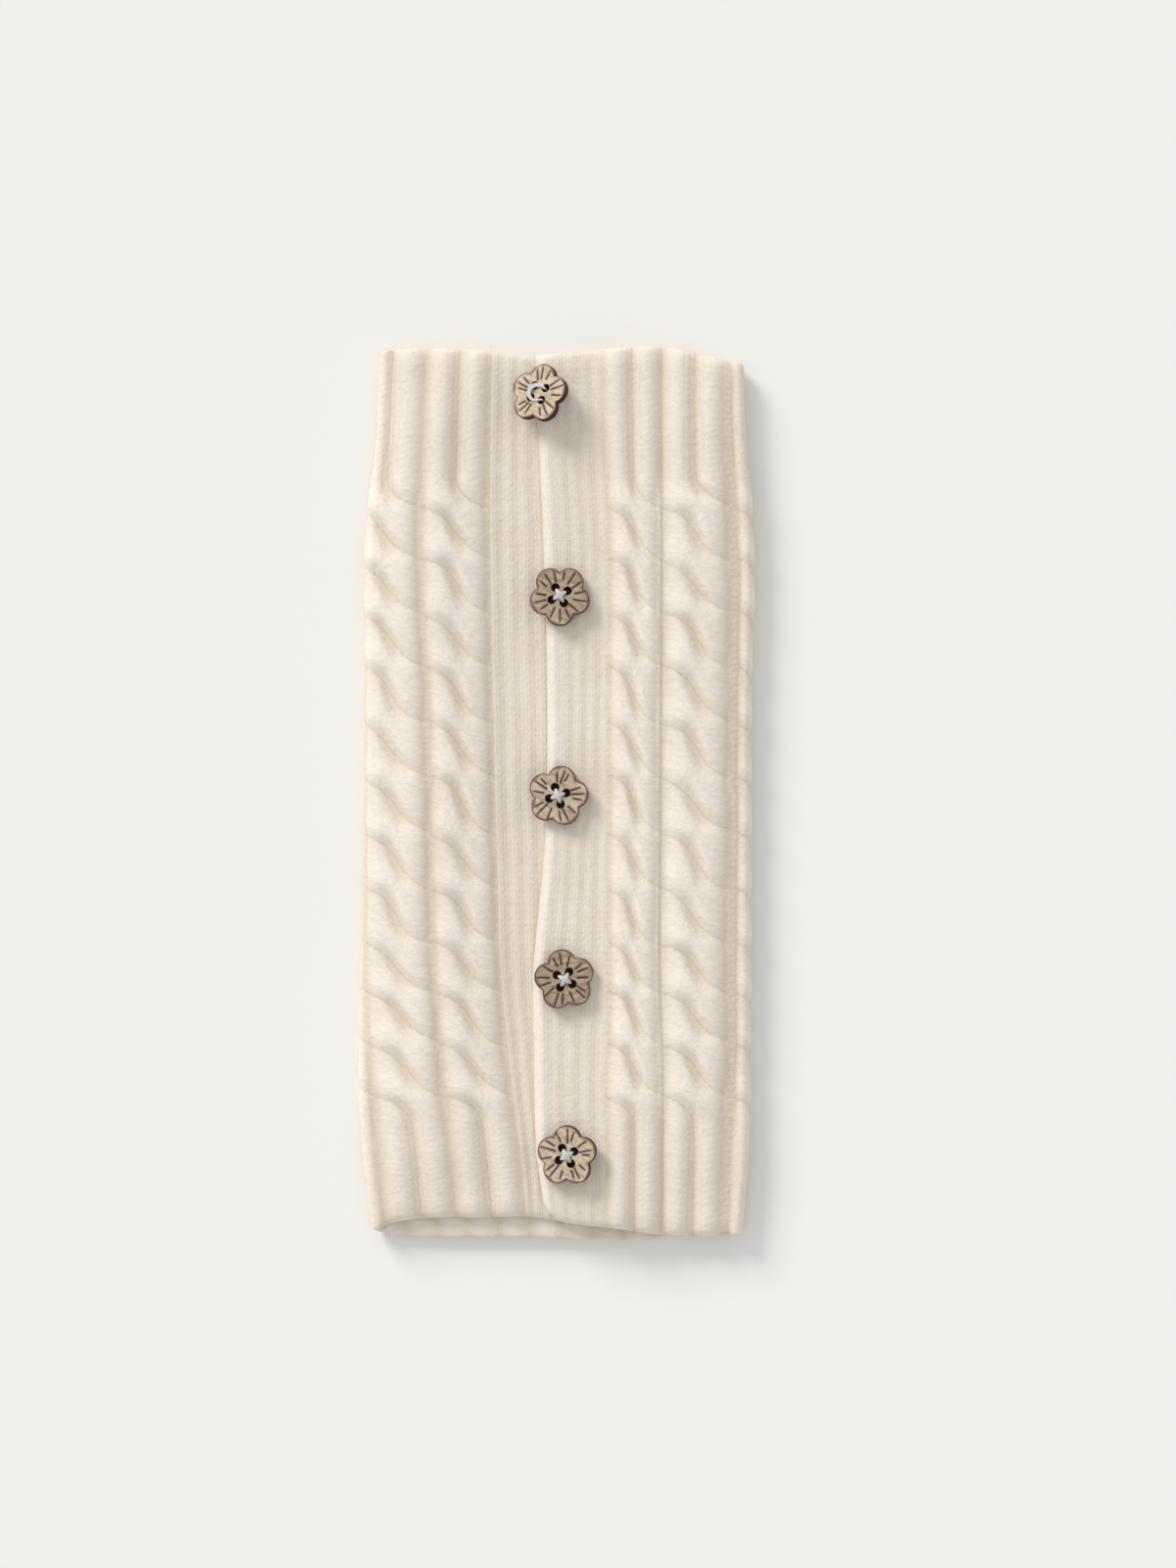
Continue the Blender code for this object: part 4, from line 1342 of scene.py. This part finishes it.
@dataclass
class WoolFuzz:
    """Fine fibres that stand off the brushed knit.

    Attributes:
        count: How many fibres.
        seed: Start of the random numbers.
        shortest: Length of the shortest fibre.
        longest: Length of the longest one.
        width: Width at a fibre's root.
        lowest: Height above the table under which none grow.
        table_gap: Least height of a fibre above the table.
    """

    count: int
    seed: int
    shortest: float = 0.8
    longest: float = 2.4
    width: float = 0.07
    lowest: float = 1.2
    table_gap: float = 0.15

    def build(self, name: str, cloth: Cloth, finish: bpy.types.Material) -> bpy.types.Object:
        """Grows fibres on a piece of knit.

        A fibre starts at a random place of the grid, leans away from the surface and bends over
        with the square of the distance along it. It is a flat strip of three steps that narrows
        to its tip.

        Args:
            name: The piece's name.
            cloth: The knit's fine grid.
            finish: The fibres' finish.

        Returns:
            The fibres, as one piece.
        """
        rng = np.random.default_rng(self.seed)
        points, normals = cloth.outer(), cloth.normals()
        rows, columns = points.shape[:2]
        places = self.count * 2
        i, j = rng.integers(0, rows - 1, places), rng.integers(0, columns - 1, places)
        share = rng.random((places, 1))
        root = blend(points[i, j], points[i + 1, j + 1], share)
        keep = np.flatnonzero((root[:, 2] > self.lowest) & (cloth.thick[i, j] > 0.3))[: self.count]
        root, normal = root[keep], normals[i[keep], j[keep]]
        sideways = square_to(rng.normal(size=normal.shape), normal)
        bend = np.cross(normal, sideways)
        lean = rng.uniform(0.15, 1.0, (len(root), 1))
        length = rng.uniform(self.shortest, self.longest, (len(root), 1))
        direction = unit(normal * lean + sideways)
        curl = rng.uniform(-0.7, 0.7, (len(root), 1))
        step = np.linspace(0, 1, 4)[:, None, None]
        spine = root + length * (step * direction + step**2 * (curl * bend - 0.35 * lean * normal))
        aside = unit(np.cross(direction, normal + 0.5 * bend))
        half = 0.5 * self.width * (1 - 0.65 * step)
        strips = np.stack([spine - half * aside, spine + half * aside], axis=2)
        strips = strips.transpose(1, 0, 2, 3)
        strips[..., 2] = np.maximum(strips[..., 2], self.table_gap)
        at = np.arange(len(root) * 8).reshape(-1, 4, 2)
        faces = np.concatenate([at[:, :-1], at[:, 1:, ::-1]], axis=-1).reshape(-1, 4)
        return Maker.piece(Maker.mesh(name, strips.reshape(-1, 3), [faces]), finish, "wool")


@dataclass(frozen=True)
class Studio:
    """The pale table, the soft light from the upper left and the camera straight above.

    Attributes:
        frame_height: Height of what the photograph shows, at the cloth's height.
        centre: Middle of what it shows.
        distance: From the cloth up to the camera.
        cloth_top: Height of the cloth above the table.
        sensor: Height of the camera's sensor.
        table: Half the width of the table.
        table_level: Height of its top, just under the cloth.
        sun_way: The way that the sun's light goes.
        sun_power: The sun's strength.
        sun_spread: The sun's width in the sky in degrees, which softens the shadows.
        sun_tint: The sun's colour, linear.
        sky_power: Strength of the even light from all round.
        sky_tint: Its colour, linear.
    """

    frame_height: float = 533.33
    centre: tuple[float, float] = (10.67, 3.33)
    distance: float = 1800.0
    cloth_top: float = 8.0
    sensor: float = 36.0
    table: float = 2000.0
    table_level: float = -0.05
    sun_way: tuple[float, float, float] = (1.3, -1.6, -1.0)
    sun_power: float = 2.13
    sun_spread: float = 23.0
    sun_tint: tuple[float, float, float] = (1.0, 0.985, 0.96)
    sky_power: float = 0.7
    sky_tint: tuple[float, float, float] = (0.97, 0.985, 1.0)

    def build(self, paper: bpy.types.Material) -> None:
        """Sets the floor, the light and the camera.

        Args:
            paper: The floor's material.
        """
        corners = np.array([(-1, -1, 0), (1, -1, 0), (1, 1, 0), (-1, 1, 0)]) * self.table
        corners = corners + np.array([0, 0, self.table_level])
        mesh = Maker.mesh("table_top", corners, [np.array([[0, 1, 2, 3]])])
        mesh.materials.append(paper)
        floor = Maker.place("table_top", mesh)
        self.light()
        self.camera()

    def light(self) -> None:
        """A broad soft sun from the upper left, and an even white surround."""
        sun = bpy.data.lights.new("sun", "SUN")
        sun.energy = self.sun_power
        sun.angle = math.radians(self.sun_spread)
        sun.color = self.sun_tint
        turn = Vector(self.sun_way).to_track_quat("-Z", "Y")
        Maker.place("sun", sun).rotation_euler = turn.to_euler()
        world = bpy.data.worlds.new("surround")
        world.use_nodes = True
        background = world.node_tree.nodes["Background"]
        background.inputs["Color"].default_value = (*self.sky_tint, 1)
        background.inputs["Strength"].default_value = self.sky_power
        bpy.context.scene.world = world
        bpy.context.scene.view_settings.view_transform = "Standard"

    def camera(self) -> None:
        """A long lens straight above, which frames the photograph's view at the cloth's height."""
        lens = bpy.data.cameras.new("above")
        lens.sensor_fit = "VERTICAL"
        lens.sensor_height = self.sensor
        lens.lens = self.sensor * self.distance / self.frame_height
        lens.clip_end = 20.0
        made = Maker.place("above", lens)
        made.location = Vector((*self.centre, self.distance + self.cloth_top)) * MM
        bpy.context.scene.camera = made


def between(operation: str, turned: bool = False) -> "Callable[[Field, Field | float], Field]":
    """Makes an operator's method.

    Args:
        operation: The operation of its node.
        turned: Whether it is the operator's reflected form, whose other value comes first.

    Returns:
        The method, of a value and another.
    """

    def method(self: "Field", other: "Field | float") -> "Field":
        """Adds the operation's node."""
        return self.math(operation, *((other, self) if turned else (self, other)))

    return method


def alone(operation: str) -> "Callable[[Field], Field]":
    """Makes the method of an operation on one value, whose node is named."""

    def method(self: "Field") -> "Field":
        """Adds the operation's node."""
        return self.math(operation, self)

    return method


class Field:
    """One socket's value, with the operators that shader formulas are written in."""

    def __init__(
        self, paint: "Paint", socket: bpy.types.NodeSocket, kind: Kind = Kind.NUMBER
    ) -> None:
        """Wraps a socket of a material that is being made.

        Args:
            paint: The material's maker, which adds the nodes.
            socket: The socket that gives the value.
            kind: What it carries.
        """
        self.paint = paint
        self.socket = socket
        self.kind = kind

    def math(self, operation: str, *terms: "Field | float", clamp: bool = False) -> "Field":
        """Adds a Math or Vector Math node, whichever suits the values.

        Args:
            operation: The node's operation.
            terms: Its values, in order.
            clamp: Whether a Math node keeps its result between 0 and 1.

        Returns:
            The result.
        """
        inputs = dict(enumerate(terms))
        if Kind.VECTOR in [term.kind for term in terms if isinstance(term, Field)]:
            made = self.paint.node("ShaderNodeVectorMath", {"operation": operation}, inputs)
            return Field(self.paint, made.outputs[0], Kind.VECTOR)
        settings = {"operation": operation, "use_clamp": clamp}
        made = self.paint.node("ShaderNodeMath", settings, inputs)
        return Field(self.paint, made.outputs[0])

    __add__ = __radd__ = between("ADD")
    __mul__ = __rmul__ = between("MULTIPLY")
    __sub__, __rsub__ = between("SUBTRACT"), between("SUBTRACT", turned=True)
    __pow__, __rpow__ = between("POWER"), between("POWER", turned=True)
    __abs__, sine = alone("ABSOLUTE"), alone("SINE")
    # What is left above the next whole number down, 1 above a limit, and the larger of two.
    part, above, most = alone("FRACT"), between("GREATER_THAN"), between("MAXIMUM")

    def held(self) -> "Field":
        """The value kept between 0 and 1."""
        return self.math("ADD", self, 0.0, clamp=True)

    def towards(self, other: "Field | float", share: "Field | float") -> "Field":
        """The number a share of the way from this one to another."""
        return self + (other - self) * share

    def tinted(self, other: "Field | tuple[float, ...]", share: "Field | float") -> "Field":
        """The colour a share of the way from this one to another, through a Mix node."""
        return self.paint.mix(self, other, share)


class Paint:
    """Makes one material's nodes."""

    def __init__(self, name: str) -> None:
        """Starts a material with its Principled shader.

        Args:
            name: The material's name.
        """
        self.material = bpy.data.materials.new(name)
        self.material.use_nodes = True
        self.tree = self.material.node_tree
        self.shader = self.tree.nodes["Principled BSDF"]

    def node(
        self, kind: str, settings: dict | None = None, inputs: dict | None = None
    ) -> bpy.types.Node:
        """Adds a node.

        Args:
            kind: The node's type.
            settings: Its settings, set first; "stops" are a ramp's places and colours.
            inputs: Its sockets' values or links, by name or number.

        Returns:
            The node.
        """
        made = self.tree.nodes.new(kind)
        for name, value in (settings or {}).items():
            if name == "stops":
                ramp = made.color_ramp.elements
                for at, (place, colour) in enumerate(value):
                    stop = ramp[at] if at < len(ramp) else ramp.new(place)
                    stop.position = place
                    stop.color = colour
            else:
                setattr(made, name, value)
        for key, value in (inputs or {}).items():
            if isinstance(value, Field):
                self.tree.links.new(value.socket, made.inputs[key])
            else:
                made.inputs[key].default_value = value
        return made

    def stored(self, name: str) -> "tuple[Field, Field, Field]":
        """The three numbers that a mesh stores at each point under a name."""
        read = self.node("ShaderNodeAttribute", {"attribute_name": name})
        vector = Field(self, read.outputs["Vector"], Kind.VECTOR)
        split = self.node("ShaderNodeSeparateXYZ", None, {0: vector})
        return tuple(Field(self, split.outputs[i]) for i in range(3))

    def place(self) -> Field:
        """Object coordinates, in metres."""
        return Field(self, self.node("ShaderNodeTexCoord").outputs["Object"], Kind.VECTOR)

    def noise(self, at: Field, size: float, detail: float = 2.0, rough: float = 0.5) -> Field:
        """Soft noise.

        Args:
            at: The coordinates that it follows, in metres.
            size: Size of its spots, in millimetres.
            detail: How many finer layers it has.
            rough: How strong the finer layers are.

        Returns:
            A value about 0.5.
        """
        inputs = {"Vector": at, "Scale": 1000.0 / size, "Detail": detail, "Roughness": rough}
        return Field(self, self.node("ShaderNodeTexNoise", None, inputs).outputs["Fac"])

    def joined(self, *numbers: Field) -> Field:
        """Three numbers as one vector."""
        made = self.node("ShaderNodeCombineXYZ", None, dict(enumerate(numbers)))
        return Field(self, made.outputs[0], Kind.VECTOR)

    def mix(self, low: "Field | tuple", high: "Field | tuple", share: "Field | float") -> Field:
        """The colour a share of the way from low to high."""
        ends = [v if isinstance(v, Field) else (*v, 1.0) for v in (low, high)]
        settings = {"data_type": "RGBA", "blend_type": "MIX"}
        made = self.node("ShaderNodeMix", settings, {0: share, 6: ends[0], 7: ends[1]})
        return Field(self, made.outputs[2], Kind.COLOUR)

    def finish(self, varying: dict[str, Field], constant: dict[str, object]) -> bpy.types.Material:
        """Joins what varies to the shader, and sets what does not on its sockets.

        Args:
            varying: Fields by the shader's socket names.
            constant: Plain values by the shader's socket names.

        Returns:
            The material.
        """
        for name, value in varying.items():
            self.tree.links.new(value.socket, self.shader.inputs[name])
        for name, value in constant.items():
            self.shader.inputs[name].default_value = value
        return self.material

    def bump(self, height: Field, depth: float, strength: float = 1.0) -> Field:
        """Turns a height between 0 and 1 into a normal.

        Args:
            height: The height.
            depth: What a height of 1 measures, in millimetres.
            strength: Share of the effect.

        Returns:
            The normal.
        """
        inputs = {"Height": height, "Distance": depth * MM, "Strength": strength}
        return Field(self, self.node("ShaderNodeBump", None, inputs).outputs["Normal"], Kind.VECTOR)


@dataclass(frozen=True)
class BrushedWool:
    """Cream wool, knitted, then brushed and fulled until its stitches are soft.

    Attributes:
        crest: Colour of the raised strands, linear.
        valley_shade: Colour down between the strands, linear: painted shade, darker where the
            grooves and creases are shaded.
        back: Colour of the purl side, linear, darker as painted shade over the purl strip and
            between its bars.
        stitch_depth: Depth of the stitches.
        fuzz_depth: Depth of the brushed surface.
    """

    crest: tuple[float, float, float] = (0.88, 0.80, 0.715)
    valley_shade: tuple[float, float, float] = (0.74, 0.635, 0.51)
    back: tuple[float, float, float] = (0.66, 0.56, 0.44)
    stitch_depth: float = 0.36
    fuzz_depth: float = 0.16

    def stockinette(self, column: Field, row: Field) -> Field:
        """Height of plain knitting, whose stitches are small Vs.

        The distance from the column's middle runs from 0 to a half. Each leg of a V is a ridge
        halfway out, and rises outwards by a little over a row.

        Args:
            column: Stitch columns across.
            row: Rows of stitches along.

        Returns:
            A height between 0 and 1.
        """
        aside = abs((column + 0.5).part() - 0.5)
        leg = (aside * (2 * math.pi)).sine().most(0.0) ** 0.6
        slant = abs(((row - aside * 1.3) * math.pi).sine())
        return leg * (slant * 0.6 + 0.4)

    def purl(self, column: Field, row: Field) -> Field:
        """Height of purl knitting: rows of small bars, each shifted half a stitch from the last."""
        shift = (row * 0.5).part().above(0.5) * 0.5
        bar = abs((row * math.pi).sine()) ** 0.8
        return bar * (abs(((column + shift) * math.pi).sine()) * 0.6 + 0.4)

    def material(self) -> bpy.types.Material:
        """Makes the wool."""
        paint = Paint("brushed_wool")
        column, row, across = paint.stored("stitch_at")
        body, purl, _ = paint.stored("stitch_kind_and_shade")
        place = paint.place()
        stitches = self.stockinette(column, row).towards(self.purl(across, row), purl)
        fuzz = paint.noise(place, 0.8, 3.0, 0.7)
        clumps = paint.noise(place, 3.6, 3.0, 0.6)
        patches = paint.noise(place, 28.0, 2.0, 0.5)
        height = stitches * (clumps * self.stitch_depth) + fuzz * self.fuzz_depth + clumps * 0.5
        # Lightness of the face: painted shade, darker on the ground between strands and ribs and
        # between stitches, with random patches and clumps of tone.
        shade_and_tone = body**0.9 + (patches - 0.5) * 0.5 + (clumps - 0.5) * 0.3 + (stitches - 0.5) * 0.12
        face = paint.mix(self.valley_shade, self.crest, shade_and_tone.held())
        # Painted shade: the purl strip beside the right fold is painted darker, most so between its
        # bars.
        colour = face.tinted(self.back, purl * (1.0 - stitches * 0.6))
        return paint.finish(
            {"Base Color": colour, "Normal": paint.bump(height, 1.0, 0.5)},
            {
                "Roughness": 0.95, "Sheen Weight": 0.2, "Sheen Roughness": 0.6,
                "Specular IOR Level": 0.1,
            },
        )

    def fibre(self) -> bpy.types.Material:
        """Makes the finish of the fibres that stand off the wool."""
        paint = Paint("wool_fibre")
        patches = paint.noise(paint.place(), 12.0, 2.0, 0.5)
        # Random patches of tone, between the crest colour and the darker colour painted as shade in
        # the grooves.
        colour = paint.mix(self.valley_shade, self.crest, (patches * 0.6 + 0.5).held())
        return paint.finish({"Base Color": colour}, {"Roughness": 0.95, "Specular IOR Level": 0.1})


@dataclass(frozen=True)
class PaperTable:
    """The plain pale table top."""

    tone: tuple[float, float, float] = (0.89, 0.883, 0.855)

    def material(self) -> bpy.types.Material:
        """Makes the table top, with the faintest unevenness."""
        paint = Paint("paper_table")
        grain = paint.noise(paint.place(), 60.0, 2.0)
        lighter = tuple(min(1.0, value * 1.01) for value in self.tone)
        colour = paint.mix(self.tone, lighter, grain)
        return paint.finish({"Base Color": colour}, {"Roughness": 0.9, "Specular IOR Level": 0.1})


@dataclass(frozen=True)
class SawnWood:
    """Thin pale wood whose cut edges are burnt dark.

    Attributes:
        pale: Colour of the face's lighter grain, linear.
        tan: Colour of its darker grain, linear.
        rim: Colour of the scorched border of the face, linear.
        burnt: Colour of the cut and engraved parts, linear.
    """

    pale: tuple[float, float, float] = (0.66, 0.52, 0.39)
    tan: tuple[float, float, float] = (0.31, 0.22, 0.14)
    rim: tuple[float, float, float] = (0.26, 0.115, 0.08)
    burnt: tuple[float, float, float] = (0.028, 0.012, 0.009)

    def material(self) -> bpy.types.Material:
        """Makes the wood. The mesh stores how burnt each point is, and its place on the button."""
        paint = Paint("sawn_wood")
        burn, across, along = paint.stored("wood_at")
        tone, rim, _ = paint.stored("wood_tone")
        stretched = paint.joined(across * 0.0009, along * 0.0002, tone * 0.01)
        grain = paint.noise(stretched, 1.1, 3.0, 0.6)
        speck = paint.noise(paint.place(), 0.5, 2.0, 0.6)
        shade = tone * 0.75 + (grain - 0.5) * 2.2 + (speck - 0.5) * 1.0 + 0.12
        face = paint.mix(self.tan, self.pale, shade.held())
        face = face.tinted(self.rim, (rim * (speck + 0.45)).held())
        scorch = (burn * 1.15 + (speck - 0.5) * 0.35 * burn).held()
        colour = face.tinted(self.burnt, scorch)
        height = grain * 0.06 + speck * 0.04
        return paint.finish(
            {"Base Color": colour, "Normal": paint.bump(height, 1.0, 0.6)},
            {"Roughness": 0.62, "Specular IOR Level": 0.35},
        )


@dataclass(frozen=True)
class SewingThread:
    """Pale grey mercerised thread."""

    tone: tuple[float, float, float] = (0.72, 0.71, 0.72)

    def material(self) -> bpy.types.Material:
        """Makes the thread, with a fine fibre along it."""
        paint = Paint("sewing_thread")
        fibre = paint.noise(paint.place(), 0.25, 2.0)
        darker = tuple(0.72 * value for value in self.tone)
        colour = paint.mix(darker, self.tone, (fibre * 1.6).held())
        return paint.finish(
            {"Base Color": colour, "Normal": paint.bump(fibre, 0.05)},
            {"Roughness": 0.42, "Specular IOR Level": 0.5},
        )


def report(piece: bpy.types.Object) -> None:
    """Logs a finished piece and how many faces it has."""
    log.info("%s: %d faces", piece.name, len(piece.data.polygons))


def main() -> None:
    """Builds the leg warmer, its buttons and the studio, in order."""
    logging.basicConfig(level=logging.INFO, format="%(name)s: %(message)s")
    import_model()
    Studio().build(PaperTable().material())
    wool, fibre = BrushedWool().material(), BrushedWool().fibre()
    wood, thread = SawnWood().material(), SewingThread().material()
    garment, cable = Garment(), Cable()
    made, cloth = CablePanel(garment, cable).build(wool)
    report(made)
    report(WoolFuzz(count=26000, seed=3).build("panel_fuzz", cloth, fibre))
    under = RibBand(
        garment, "under_band_knit", "under_band", start=("under_seam", -1.1),
        end=("over_seam", -4.0), wall=2.4, lift=0.0, free=Side.RIGHT, shoulder=0.75,
    )
    over = RibBand(
        garment, "button_band_knit", "button_band", start=("band_edge", 0.0),
        end=("over_seam", 1.1), wall=2.6, lift=garment.over_lift, free=Side.LEFT,
        shoulder=0.4, corner=9.0,
    )
    for number, band in enumerate((under, over)):
        made, cloth = band.build(wool)
        report(made)
        fuzz = WoolFuzz(count=5000, seed=20 + number)
        report(fuzz.build(made.name + "_fuzz", cloth, fibre))
    heights = over.lift + over.wall + over.rib, under.wall + under.rib
    for number, row in enumerate(BUTTONS, 1):
        for piece in FlowerButton(garment, number, row, *heights).build(wood, thread):
            report(piece)


if __name__ == "__main__":
    main()
